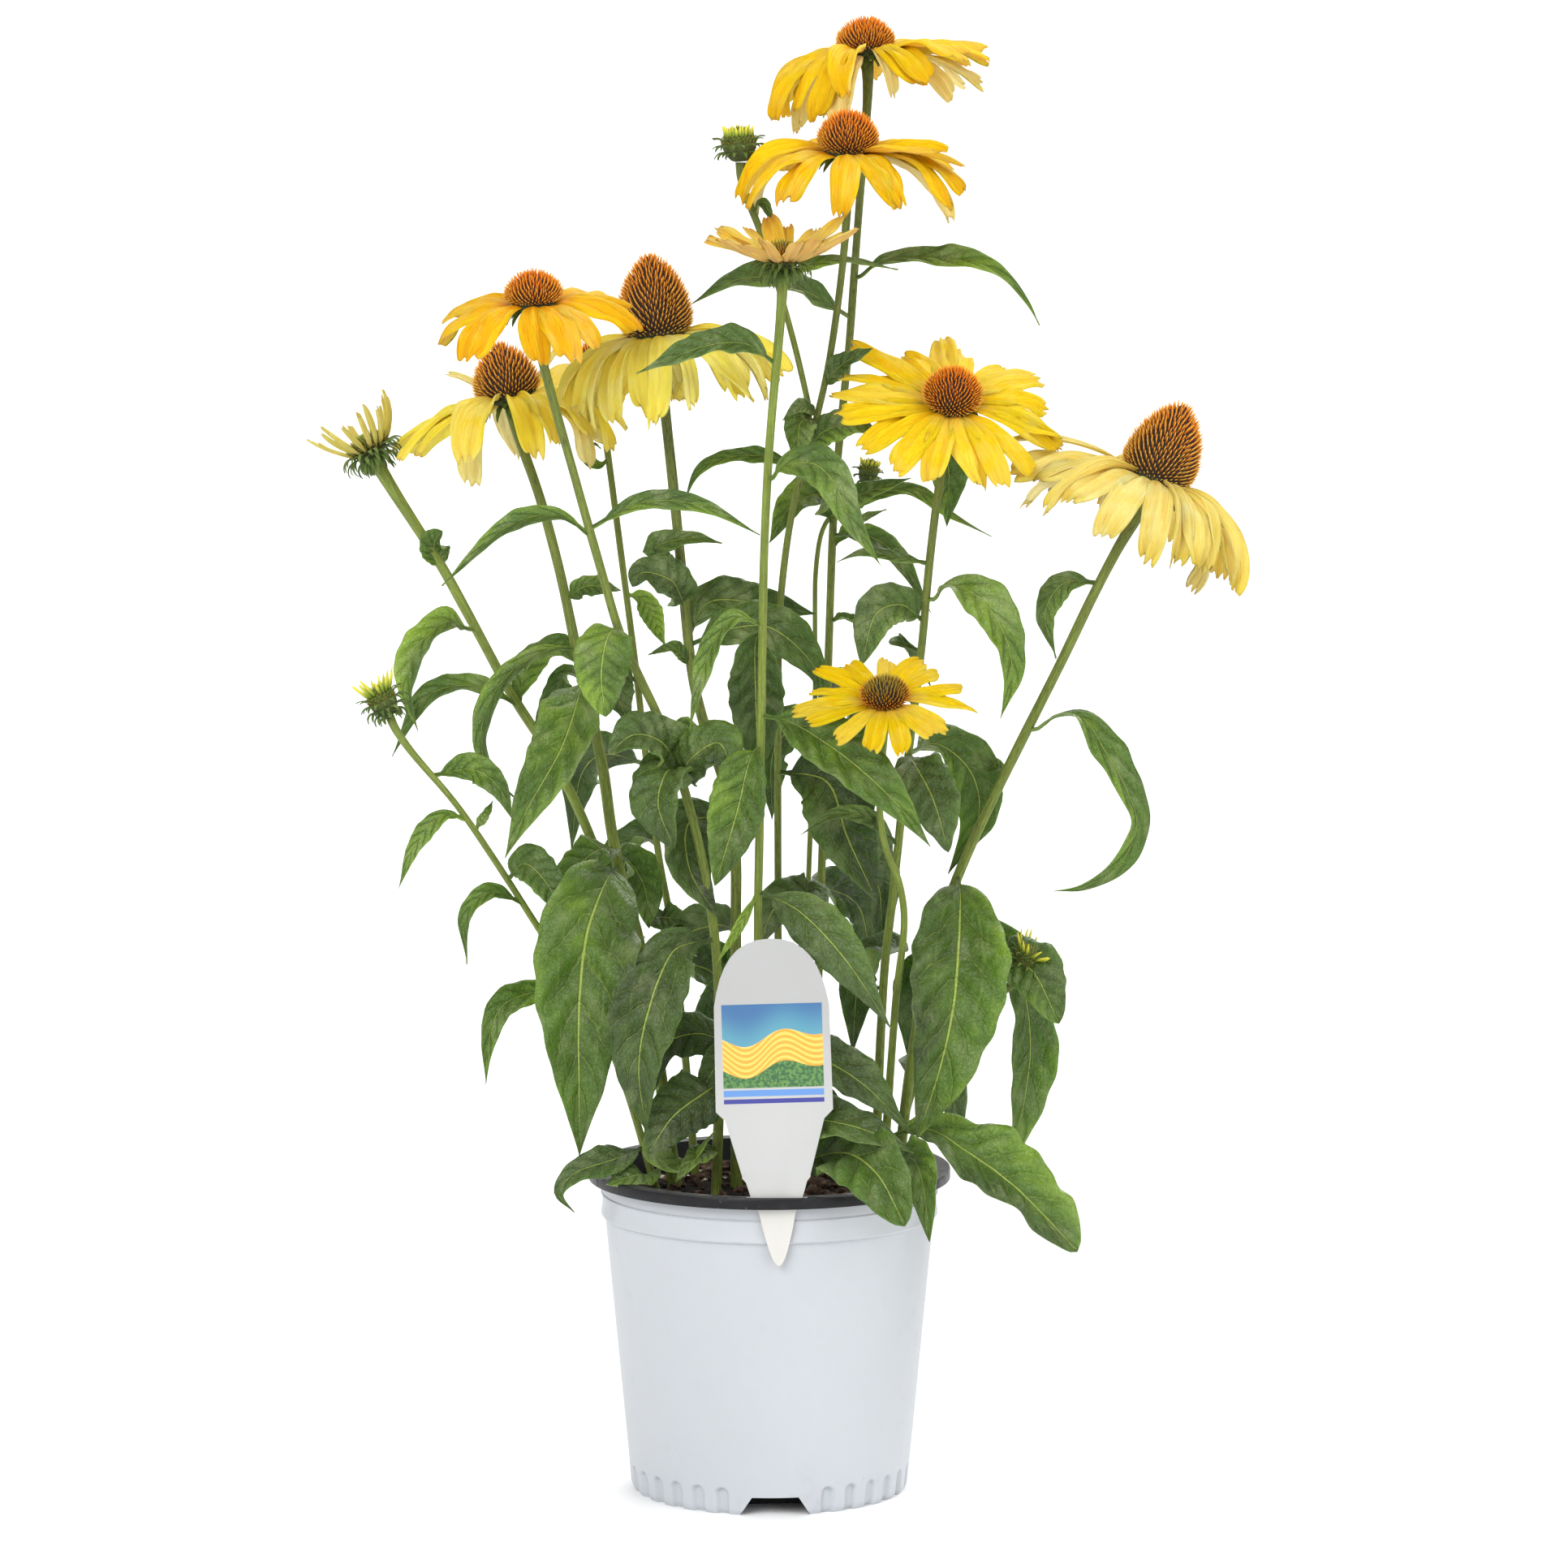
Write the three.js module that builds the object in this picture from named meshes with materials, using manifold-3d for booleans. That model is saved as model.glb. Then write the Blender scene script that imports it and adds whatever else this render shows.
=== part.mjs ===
// A potted coneflower: eleven flowers and four buds on leafy stems, growing from the soil of a nursery
// pot, with a blank plant tag held in the pot's rim.
// Millimetres and degrees, +Z up. It is seen from -Y, with +X to the right. The origin is the middle of
// the pot's base, on the surface that the pot stands on.

import * as THREE from "three";
import { mergeVertices } from "three/addons/utils/BufferGeometryUtils.js";
import Module from "manifold-3d";

const wasm = await Module();
wasm.setup();

// Clearance between pieces that touch
const GAP = 0.3;

// How far a cut runs on past the face that it opens
const PAST = 1;

// Pot
const POT_HEIGHT = 148;
const RIM_RADIUS = 82.5;
const RIM_EDGE_DEPTH = 4.3; // the turned-down edge of the rim
const COLLAR_RADIUS = 75.7;
const COLLAR_HEIGHT = 17.5; // from the pot's top down to the step under the collar
const COLLAR_STEP = [1, 2]; // how far it steps in, over which height
const WALL_TOP_RADIUS = 73.2; // just under the collar
const BASE_RADIUS = 61.8;
const BOTTOM_CORNER = [1.5, 2]; // its depth and height outside
const INNER_CORNER = 2.5;
const RIM_BEVEL = 0.6;
const WALL = 1.4;
const POT_SIDES = 42;

// Drain channels under the pot, each open at the wall as a notch
const DRAIN_HEADINGS = [-87.5, 32.5, 152.5];
const DRAIN_HEIGHT = 8.5;
const DRAIN_FOOT = 33; // width at the bottom
const DRAIN_TOP = 21;
const DRAIN_END_RADIUS = 38;
const DRAIN_HOLE = [10, 5];

// Soil
const SOIL_LEVEL = 135; // height at the pot's wall
const SOIL_MOUND = 5; // how much higher it is in the middle
const SOIL_SIDES = 21;

// Tag, an upright plate whose spike goes down through a slot in the rim
const TAG_CENTRE = [3.5, -77.8];
const TAG_THICKNESS = 1;
const TAG_LEAN = 1.6; // in its own plane, towards -X
const TAG_TOP = 116; // above the pot's rim, as are the next three
const TAG_SHOULDER = 86;
const TAG_WAIST = 35;
const TAG_BARB = 10;
const TAG_TIP = -31;
const TAG_WIDTH = 51;
const SLOT_LENGTH = 27;
const SLOT_WIDTH = 2.4;

// Plant
const STEM_SIDES = 6;
const RINGS_PER_BEND = 2;
const RECEPTACLE = 4; // depth of the green base under a cone
const NECK = 9; // the straight end of a stem under its head
const STEM_END = 0.004; // how near its ends a stem has its full section, as a share of its length
const LEAF_THICKNESS = 1.2;
const RAY_THICKNESS = 0.9;
const RAY_BAND = [2, 1.1]; // width, and half the height, of the band that joins a flower's rays
const RAY_SPREAD = { place: 0.12, droop: 6, length: 0.07 }; // how much the rays of a flower differ
const CONE_SIDES = 10;
const WAIST = 0.7; // a cone's radius where the rays join it, as a share of its full radius

// Flowers. A stem leaves the soil at its foot, or its parent stem at the height of its fork, and follows
// its bends up to the middle of its head. The head tilts from upright towards a heading, which is 0
// along +X and -90 towards the viewer. Rays rise from the head's plane and droop by the given angles at
// their tips, and by "swing" more on the side of the heading "low".
const FLOWERS = [
  {
    name: "flower_1",
    foot: [20, 24],
    bends: [[23, 28, 250], [26, 34, 345], [30, 42, 455], [36, 48, 515], [40, 53, 570], [44, 58, 651]],
    stem: [6.5, 6],
    tilt: 4,
    heading: 180,
    cone: [28, 16],
    rays: { count: 13, length: 47, width: 15, rise: 14, droop: 62, swing: 42, low: 190 },
  },
  {
    name: "flower_2",
    foot: [4, 4],
    bends: [[4, 4, 255], [4, 1, 345], [5, 0, 405], [11, -5, 450], [24, -12, 500], [33, -19, 560], [35, -22, 608]],
    stem: [7, 6],
    tilt: 8,
    heading: -90,
    cone: [29, 19],
    rays: { count: 13, length: 49, width: 15, rise: 14, droop: 66, swing: 16, low: -100 },
  },
  {
    name: "flower_3",
    foot: [-4, -34],
    bends: [[-5, -44, 258], [-4, -52, 318], [-3, -58, 390], [-1, -62, 462], [6, -66, 562]],
    stem: [5.5, 5.5],
    tilt: 6,
    heading: -90,
    cone: [21, 9],
    rays: { count: 16, length: 29, width: 8, rise: 6, droop: -38, swing: 6, low: 170 },
  },
  {
    name: "flower_4",
    foot: [-15, -7],
    bends: [[-15, -8, 245], [-17, -8, 311], [-28, -8, 347], [-34, -8, 370], [-41, -8, 440], [-50, -8, 526]],
    stem: [7.5, 6.5],
    tilt: 6,
    heading: 190,
    cone: [35, 37],
    rays: { count: 15, length: 53, width: 14, rise: 2, droop: 90, swing: 14, low: 170 },
  },
  {
    name: "flower_5",
    foot: [-24, -26],
    bends: [[-23, -28, 242], [-33, -33, 307], [-50, -41, 360], [-64, -46, 390], [-80, -52, 446], [-103, -58, 543]],
    stem: [6.5, 5.5],
    tilt: 10,
    heading: -110,
    cone: [27, 15],
    rays: { count: 12, length: 42, width: 16, rise: 10, droop: 56, swing: 16, low: -90 },
  },
  {
    name: "flower_6",
    foot: [-43, -2],
    bends: [[-58, 4, 245], [-69, 8, 286], [-76, 13, 331], [-86, 18, 375], [-100, 28, 437], [-118, 38, 495]],
    stem: [9, 6],
    tilt: 12,
    heading: 180,
    cone: [32, 26],
    rays: { count: 13, length: 48, width: 14, rise: 6, droop: 70, swing: 24, low: -25 },
  },
  {
    name: "flower_7",
    foot: [-34, 28],
    bends: [[-44, 42, 244], [-52, 52, 290], [-62, 70, 370], [-71, 85, 438], [-79, 102, 506]],
    stem: [6, 5],
    tilt: 8,
    heading: 110,
    cone: [24, 13],
    rays: { count: 11, length: 36, width: 13, rise: 8, droop: 74, swing: 6, low: 180 },
  },
  {
    name: "flower_8",
    foot: [48, -1],
    bends: [[52, -6, 238], [56, -9, 275], [61, -15, 326], [68, -22, 386], [73, -27, 440], [81, -31, 497]],
    stem: [7, 6],
    tilt: 33,
    heading: -80,
    cone: [28, 18],
    rays: { count: 14, length: 44, width: 14, rise: 10, droop: 30, swing: 14, low: -20 },
  },
  {
    name: "flower_9",
    foot: [58, 12],
    bends: [[71, 6, 235], [85, 0, 280], [104, -7, 324], [129, -15, 376], [152, -22, 425], [171, -28, 463]],
    stem: [7, 6.5],
    tilt: 22,
    heading: 0,
    cone: [36, 37],
    rays: { count: 13, length: 57, width: 15, rise: 6, droop: 78, swing: 26, low: -30 },
  },
  {
    name: "flower_10",
    foot: [51, -23],
    bends: [[56, -30, 219], [60, -42, 276], [53, -52, 297], [49, -60, 318], [51, -70, 369]],
    stem: [5.5, 4],
    tilt: 28,
    heading: -92,
    cone: [23, 11],
    rays: { count: 15, length: 34, width: 10, rise: 8, droop: 24, swing: 8, low: -90 },
  },
  {
    name: "flower_11",
    fork: ["flower_6", 280],
    bends: [[-92, 12, 322], [-120, 18, 367], [-146, 24, 415], [-181, 30, 472]],
    stem: [6, 7],
    tilt: 28,
    heading: 180,
    cone: [22, 8],
    rays: { count: 18, length: 28, width: 4.5, rise: 36, droop: -80, swing: 12, low: 180 },
  },
];

// Buds, with their head's diameter and height in place of cone and rays
const BUDS = [
  {
    name: "bud_1",
    fork: ["flower_2", 494],
    bends: [[9, -8, 531], [-5, -4, 575], [-13, -4, 607]],
    stem: [3.5, 4.5],
    tilt: 4,
    heading: 180,
    head: [20, 14],
  },
  {
    name: "bud_2",
    foot: [-50, -24],
    bends: [[-76, -12, 216], [-105, -16, 261], [-136, -34, 313], [-170, -48, 363]],
    stem: [5, 4],
    tilt: 25,
    heading: 180,
    head: [17, 13],
  },
  {
    name: "bud_3",
    foot: [58, 28],
    bends: [[68, 22, 186], [82, 14, 203], [96, 8, 221], [115, 4, 239]],
    stem: [4, 4],
    tilt: 35,
    heading: -20,
    head: [19, 13],
  },
  {
    name: "bud_4",
    foot: [14, 46],
    bends: [[18, 52, 275], [21, 58, 350], [21, 60, 397], [24, 61, 432], [34, 62, 444], [45, 62, 457]],
    stem: [4, 3],
    tilt: 10,
    heading: 0,
    head: [13, 10],
  },
];

// The larger leaves. Each leaves its stem at a height, follows its bends to its tip, and turns its upper
// side towards the direction "face".
const LEAVES = [
  {
    name: "leaf_1",
    on: ["flower_1", 549],
    bends: [[50, 42, 556], [74, 22, 559], [98, 8, 556], [112, 0, 545], [121, -2, 530]],
    width: 9,
    face: [0, -0.4, 1],
  },
  {
    name: "leaf_2",
    on: ["flower_3", 518],
    bends: [[-9, -66, 525], [-26, -70, 525], [-58, -75, 513]],
    width: 12,
    face: [0, -0.5, 1],
  },
  {
    name: "leaf_3",
    on: ["flower_3", 466],
    bends: [[9, -72, 473], [24, -84, 472], [36, -90, 450], [49, -90, 430]],
    width: 15,
    face: [0.3, -1, 0.5],
  },
  {
    name: "leaf_4",
    on: ["flower_8", 409],
    bends: [[80, -30, 415], [91, -36, 413], [104, -40, 396], [108, -40, 378], [103, -38, 357]],
    width: 18,
    face: [0.5, -1, 0.4],
  },
  {
    name: "leaf_5",
    on: ["flower_3", 398],
    bends: [[-6, -46, 392], [-6, -36, 368], [-5, -32, 332]],
    width: 24,
    face: [0, -1, 0],
  },
  {
    name: "leaf_6",
    on: ["flower_6", 368],
    bends: [[-86, -6, 362], [-93, -26, 342], [-108, -36, 316], [-118, -36, 294]],
    width: 27,
    face: [-0.2, -1, 0.4],
  },
  {
    name: "leaf_7",
    on: ["flower_11", 391],
    bends: [[-145, 8, 396], [-159, -2, 384], [-163, -8, 366], [-158, -8, 348]],
    width: 14,
    face: [-0.6, -0.8, 0.3],
  },
  {
    name: "leaf_8",
    on: ["flower_6", 284],
    bends: [[-74, -18, 280], [-82, -38, 258], [-85, -47, 225], [-85, -48, 190], [-85, -46, 161]],
    width: 48,
    face: [0, -1, 0.2],
  },
  {
    name: "leaf_9",
    on: ["flower_5", 256],
    bends: [[-42, -44, 254], [-53, -54, 230], [-58, -56, 204], [-55, -54, 174]],
    width: 32,
    face: [-0.2, -1, 0.2],
  },
  {
    name: "leaf_10",
    on: ["flower_3", 360],
    bends: [[8, -64, 359], [33, -79, 345], [55, -86, 326], [71, -88, 306]],
    width: 24,
    face: [0.2, -1, 0.6],
  },
  {
    name: "leaf_11",
    on: ["flower_9", 349],
    bends: [[136, -22, 358], [152, -32, 338], [164, -38, 308], [148, -42, 285], [127, -42, 280]],
    width: 17,
    face: [0.5, -1, 0.4],
  },
  {
    name: "leaf_12",
    on: ["flower_9", 280],
    bends: [[86, -14, 276], [85, -30, 255], [82, -40, 225], [75, -42, 195], [66, -38, 167]],
    width: 46,
    face: [0, -1, 0.2],
  },
  {
    name: "leaf_13",
    on: ["flower_9", 262],
    bends: [[98, 14, 256], [113, 20, 236], [119, 18, 202], [116, 14, 174], [110, 8, 149]],
    width: 26,
    face: [0.2, -1, 0.3],
  },
  {
    name: "leaf_14",
    on: ["flower_10", 166],
    bends: [[70, -26, 170], [90, -36, 160], [108, -43, 148], [124, -48, 133], [138, -50, 118]],
    width: 33,
    face: [0.2, -0.8, 1],
  },
  {
    name: "leaf_15",
    on: ["flower_10", 156],
    bends: [[61, -50, 161], [66, -70, 161], [69, -84, 150], [71, -88, 130]],
    width: 18,
    face: [0, -1, 0.5],
  },
  {
    name: "leaf_16",
    on: ["flower_3", 156],
    bends: [[14, -43, 158], [34, -62, 165], [49, -84, 158], [60, -94, 138]],
    width: 32,
    face: [0.1, -0.8, 1],
  },
];

const materials = {
  pot: new THREE.MeshStandardMaterial({ color: 0xd6dfe8, roughness: 0.45 }),
  soil: new THREE.MeshStandardMaterial({ color: 0x2a1f18, roughness: 1 }),
  tag: new THREE.MeshStandardMaterial({ color: 0xf2f3f3, roughness: 0.4 }),
  stem: new THREE.MeshStandardMaterial({ color: 0x6f7f45, roughness: 0.65 }),
  leaf: new THREE.MeshStandardMaterial({ color: 0x4c6f34, roughness: 0.6, side: THREE.DoubleSide }),
  cone: new THREE.MeshStandardMaterial({ color: 0xb45a1c, roughness: 0.8 }),
  rays: new THREE.MeshStandardMaterial({ color: 0xf6c136, roughness: 0.6 }),
  bud: new THREE.MeshStandardMaterial({ color: 0x7f9440, roughness: 0.75 }),
};

const { PI, cos, sin, max, hypot } = Math;
const radians = THREE.MathUtils.degToRad;
const vector = ([x, y, z]) => new THREE.Vector3(x, y, z);

// An even spread of values from -amount to amount, the same on every run, that keeps neighbours apart
const vary = (i, amount) => amount * sin(2.4 * i + 0.7);

const plant = new THREE.Group();

function add(name, geometry, material, parent = plant) {
  const mesh = new THREE.Mesh(geometry, material);
  mesh.name = name;
  parent.add(mesh);
  return mesh;
}

// Solids for joining and cutting
function solidOf(geometry) {
  const bare = geometry.clone();
  bare.deleteAttribute("normal");
  bare.deleteAttribute("uv");
  const merged = mergeVertices(bare, 1e-4);
  return new wasm.Manifold(
    new wasm.Mesh({
      numProp: 3,
      vertProperties: new Float32Array(merged.attributes.position.array),
      triVerts: new Uint32Array(merged.index.array),
    }),
  );
}

function geometryOf(solid) {
  const mesh = solid.getMesh();
  const geometry = new THREE.BufferGeometry();
  geometry.setAttribute("position", new THREE.BufferAttribute(mesh.vertProperties, 3));
  geometry.setIndex(new THREE.BufferAttribute(mesh.triVerts, 1));
  geometry.computeVertexNormals();
  return geometry;
}

// A closed skin over rings of points, drawn to one point at its start and one at its end. Each ring
// runs counterclockwise seen from the end.
function loft(start, rings, end) {
  const corners = [];
  const sides = rings[0].length;
  const triangle = (...points) => points.forEach((p) => corners.push(p.x, p.y, p.z));
  for (let j = 0; j < sides; j += 1) {
    const k = (j + 1) % sides;
    triangle(start, rings[0][k], rings[0][j]);
    for (let i = 0; i + 1 < rings.length; i += 1) {
      triangle(rings[i][j], rings[i][k], rings[i + 1][k]);
      triangle(rings[i][j], rings[i + 1][k], rings[i + 1][j]);
    }
    triangle(end, rings.at(-1)[j], rings.at(-1)[k]);
  }
  const geometry = new THREE.BufferGeometry();
  geometry.setAttribute("position", new THREE.Float32BufferAttribute(corners, 3));
  geometry.computeVertexNormals();
  return geometry;
}

// A round solid from a profile of radii and heights that starts and ends on the axis, bottom first
function turned(profile, sides) {
  const points = profile.map(([radius, height]) => new THREE.Vector2(radius, height));
  return new THREE.LatheGeometry(points, sides).rotateX(PI / 2);
}

// Pot: its outside up to the rim's edge, over the rim and down the inside to the floor
function outerProfile() {
  return [
    [0, 0],
    [BASE_RADIUS - BOTTOM_CORNER[0], 0],
    [BASE_RADIUS, BOTTOM_CORNER[1]],
    ...wallTop(0),
    [COLLAR_RADIUS, POT_HEIGHT - WALL],
  ];
}

function innerProfile() {
  return [
    [COLLAR_RADIUS - WALL, POT_HEIGHT - RIM_BEVEL],
    ...wallTop(WALL).reverse(),
    [BASE_RADIUS - WALL, INNER_CORNER],
    [BASE_RADIUS - INNER_CORNER, WALL],
    [0, WALL],
  ];
}

// The step under the collar, as seen from some depth inside the wall's outer face
function wallTop(depth) {
  const step = POT_HEIGHT - COLLAR_HEIGHT;
  return [
    [WALL_TOP_RADIUS - depth, step - COLLAR_STEP[1]],
    [WALL_TOP_RADIUS + COLLAR_STEP[0] - depth, step],
  ];
}

// A drain channel is a tunnel with sloping sides. Grown by some thickness, it is the block around it.
function drainChannel(heading, grow) {
  const outline = new THREE.Shape();
  outline.moveTo(-DRAIN_FOOT / 2 - grow, -PAST);
  outline.lineTo(DRAIN_FOOT / 2 + grow, -PAST);
  outline.lineTo(DRAIN_TOP / 2 + grow, DRAIN_HEIGHT + grow);
  outline.lineTo(-DRAIN_TOP / 2 - grow, DRAIN_HEIGHT + grow);
  const start = DRAIN_END_RADIUS - grow;
  const depth = RIM_RADIUS - start;
  const tunnel = new THREE.ExtrudeGeometry(outline, { depth, bevelEnabled: false });
  tunnel.rotateX(PI / 2).translate(0, -start, 0);
  return solidOf(tunnel.rotateZ(radians(heading + 90)));
}

function drainHole(heading) {
  const [along, across] = DRAIN_HOLE;
  const hole = new THREE.BoxGeometry(across, along, 3 * DRAIN_HEIGHT);
  hole.translate(0, -(DRAIN_END_RADIUS + BASE_RADIUS) / 2, 0);
  return solidOf(hole.rotateZ(radians(heading + 90)));
}

function buildPot() {
  const rim = [
    [RIM_RADIUS - WALL, POT_HEIGHT - WALL],
    [RIM_RADIUS - WALL, POT_HEIGHT - RIM_EDGE_DEPTH],
    [RIM_RADIUS, POT_HEIGHT - RIM_EDGE_DEPTH],
    [RIM_RADIUS, POT_HEIGHT - RIM_BEVEL],
    [RIM_RADIUS - RIM_BEVEL, POT_HEIGHT],
    [COLLAR_RADIUS - WALL + RIM_BEVEL, POT_HEIGHT],
  ];
  const outside = outerProfile();
  let pot = solidOf(turned([...outside, ...rim, ...innerProfile()], POT_SIDES));
  const filled = solidOf(turned([...outside, [0, POT_HEIGHT - WALL]], POT_SIDES));
  for (const heading of DRAIN_HEADINGS) {
    pot = pot.add(drainChannel(heading, WALL).intersect(filled));
    pot = pot.subtract(drainChannel(heading, 0)).subtract(drainHole(heading));
  }
  const slot = new THREE.BoxGeometry(SLOT_LENGTH, SLOT_WIDTH, 3 * WALL);
  slot.translate(TAG_CENTRE[0], TAG_CENTRE[1], POT_HEIGHT);
  add("pot", geometryOf(pot.subtract(solidOf(slot))), materials.pot);
}

// Soil: it fills the pot round the drain channels and is a little mounded on top
function soilHeight(x, y) {
  const share = hypot(x, y) / WALL_TOP_RADIUS;
  return SOIL_LEVEL + SOIL_MOUND * (1 - share * share);
}

function buildSoil() {
  const clear = WALL + GAP;
  const profile = [
    [0, clear],
    [BASE_RADIUS - INNER_CORNER - GAP, clear],
    [BASE_RADIUS - clear, INNER_CORNER + GAP],
    ...wallTop(clear),
    [WALL_TOP_RADIUS + COLLAR_STEP[0] - clear, SOIL_LEVEL],
  ];
  for (const share of [0.75, 0.5, 0.25, 0]) {
    const radius = share * WALL_TOP_RADIUS;
    profile.push([radius, soilHeight(radius, 0)]);
  }
  let soil = solidOf(turned(profile, SOIL_SIDES));
  for (const heading of DRAIN_HEADINGS) soil = soil.subtract(drainChannel(heading, clear));
  add("soil", geometryOf(soil), materials.soil);
}

// Tag: a round-topped plate that narrows in steps to a spike
function buildTag() {
  const half = TAG_WIDTH / 2;
  const side = [
    [half + 0.5, TAG_WAIST + 4],
    [half - 3.5, TAG_WAIST],
    [15.2, TAG_BARB],
    [15.2, TAG_BARB - 1],
    [13.6, TAG_BARB - 3],
    [11.5, 0],
    [9.5, -7],
  ];
  const outline = new THREE.Shape();
  outline.moveTo(-half, TAG_SHOULDER);
  outline.bezierCurveTo(-half + 3, TAG_TOP - 12, -half + 9, TAG_TOP, 0, TAG_TOP);
  outline.bezierCurveTo(half - 9, TAG_TOP, half - 3, TAG_TOP - 12, half, TAG_SHOULDER);
  for (const [across, up] of side) outline.lineTo(across, up);
  outline.quadraticCurveTo(4, TAG_TIP, 0, TAG_TIP);
  outline.quadraticCurveTo(-4, TAG_TIP, -side.at(-1)[0], side.at(-1)[1]);
  for (const [across, up] of side.slice(0, -1).reverse()) outline.lineTo(-across, up);
  const plate = new THREE.ExtrudeGeometry(outline, {
    depth: TAG_THICKNESS,
    bevelEnabled: false,
    curveSegments: 8,
  });
  plate.translate(0, 0, -TAG_THICKNESS / 2).rotateX(PI / 2);
  const tag = add("plant_tag", plate, materials.tag);
  tag.position.set(TAG_CENTRE[0], TAG_CENTRE[1], POT_HEIGHT);
  tag.rotation.y = -radians(TAG_LEAN);
}

// Routes of stems, by the name of the flower or bud that each one carries
const routes = new Map();

// The place on a stem's middle line at a height, and the stem's radius there
function onStem(name, height) {
  const { curve, radius } = routes.get(name);
  let low = 0;
  let high = 1;
  for (let i = 0; i < 30; i += 1) {
    const middle = (low + high) / 2;
    if (curve.getPoint(middle).z < height) low = middle;
    else high = middle;
  }
  return { point: curve.getPoint(low), radius: radius(low) };
}

// Where something that heads for a point leaves the surface of a stem. A stem that forks off is set
// off by its own radius too, measured to one of its flat sides.
function leavingStem(name, height, towards, ownRadius = 0) {
  const { point, radius } = onStem(name, height);
  const out = vector(towards).sub(point).setZ(0).normalize();
  return point.addScaledVector(out, radius + GAP + ownRadius * cos(PI / STEM_SIDES));
}

function headAxis({ tilt, heading }) {
  const t = radians(tilt);
  const h = radians(heading);
  return vector([sin(t) * cos(h), sin(t) * sin(h), cos(t)]);
}

function stemRing(curve, t, radius) {
  const centre = curve.getPoint(t);
  const along = curve.getTangent(t);
  const side = new THREE.Vector3(0, 1, 0).cross(along).normalize();
  const front = along.clone().cross(side);
  return Array.from({ length: STEM_SIDES }, (_, i) => {
    const angle = (2 * PI * i) / STEM_SIDES;
    const point = centre.clone().addScaledVector(side, radius * cos(angle));
    return point.addScaledVector(front, radius * sin(angle));
  });
}

// A stem, closed at both ends by a very flat point
function buildStem(plan) {
  const top = vector(plan.bends.at(-1)).addScaledVector(headAxis(plan), -RECEPTACLE - GAP);
  const neck = top.clone().addScaledVector(headAxis(plan), -NECK);
  const first = plan.fork
    ? leavingStem(...plan.fork, plan.bends[0], plan.stem[0] / 2)
    : vector([...plan.foot, soilHeight(...plan.foot) + GAP]);
  const bends = plan.bends.slice(0, -1).map(vector);
  const curve = new THREE.CatmullRomCurve3([first, ...bends, neck, top], false, "centripetal");
  const radius = (t) => THREE.MathUtils.lerp(plan.stem[0], plan.stem[1], t) / 2;
  routes.set(plan.name, { curve, radius });
  const count = RINGS_PER_BEND * plan.bends.length;
  const rings = [];
  for (let i = 0; i <= count; i += 1) {
    const t = THREE.MathUtils.clamp(i / count, STEM_END, 1 - STEM_END / 2);
    rings.push(stemRing(curve, t, radius(t)));
  }
  add(plan.name + "_stem", loft(first, rings, top), materials.stem);
}

// The frame of a flower or bud head: +Z along its axis, with its middle at the last bend
function headGroup(plan) {
  const group = new THREE.Group();
  const h = radians(plan.heading);
  group.position.copy(vector(plan.bends.at(-1)));
  group.quaternion.setFromAxisAngle(vector([-sin(h), cos(h), 0]), radians(plan.tilt));
  plant.add(group);
  return group;
}

// A domed head from heights and radii, drawn to a point at the bottom and the top
function dome(bottom, profile, top, sides) {
  const rings = profile.map(([radius, height]) =>
    Array.from({ length: sides }, (_, i) => {
      const angle = (2 * PI * i) / sides;
      return vector([radius * cos(angle), radius * sin(angle), height]);
    }),
  );
  return loft(vector([0, 0, bottom]), rings, vector([0, 0, top]));
}

function buildCone({ name, cone: [diameter, height] }, group) {
  const r = diameter / 2;
  const profile = [
    [0.45 * r, -RECEPTACLE + 0.4],
    [WAIST * r, -1.6],
    [WAIST * r, 1.6],
    [0.97 * r, 2.6],
    [r, 0.32 * height],
    [0.9 * r, 0.58 * height],
    [0.62 * r, 0.83 * height],
    [0.28 * r, 0.97 * height],
  ];
  add(name + "_cone", dome(-RECEPTACLE, profile, height, CONE_SIDES), materials.cone, group);
}

// One ray's rings, along an arc that starts by rising and bends down to its droop. Each ring has its
// place along the ray and its share of the ray's width.
function rayRings(start, heading, length, width, rise, droop) {
  const shares = [
    [0.15, 0.55],
    [0.55, 1],
    [0.93, 0.75],
  ];
  const across = vector([-sin(heading), cos(heading), 0]);
  const place = (t) => {
    const steps = 12;
    let out = start;
    let up = 0;
    for (let i = 0; i < steps; i += 1) {
      const angle = radians(rise - (rise + droop) * ((i + 0.5) / steps) * t);
      out += (length * t * cos(angle)) / steps;
      up += (length * t * sin(angle)) / steps;
    }
    return vector([out * cos(heading), out * sin(heading), up]);
  };
  const rings = shares.map(([t, share]) => {
    const angle = radians(rise - (rise + droop) * t);
    const normal = vector([-sin(angle) * cos(heading), -sin(angle) * sin(heading), cos(angle)]);
    const centre = place(t);
    const offset = (side, up) =>
      centre.clone().addScaledVector(across, side).addScaledVector(normal, up);
    const half = (width * share) / 2;
    const thick = RAY_THICKNESS / 2;
    return [offset(half, 0), offset(0, thick), offset(-half, 0), offset(0, -thick)];
  });
  return { rings, base: place(0), tip: place(1) };
}

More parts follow.
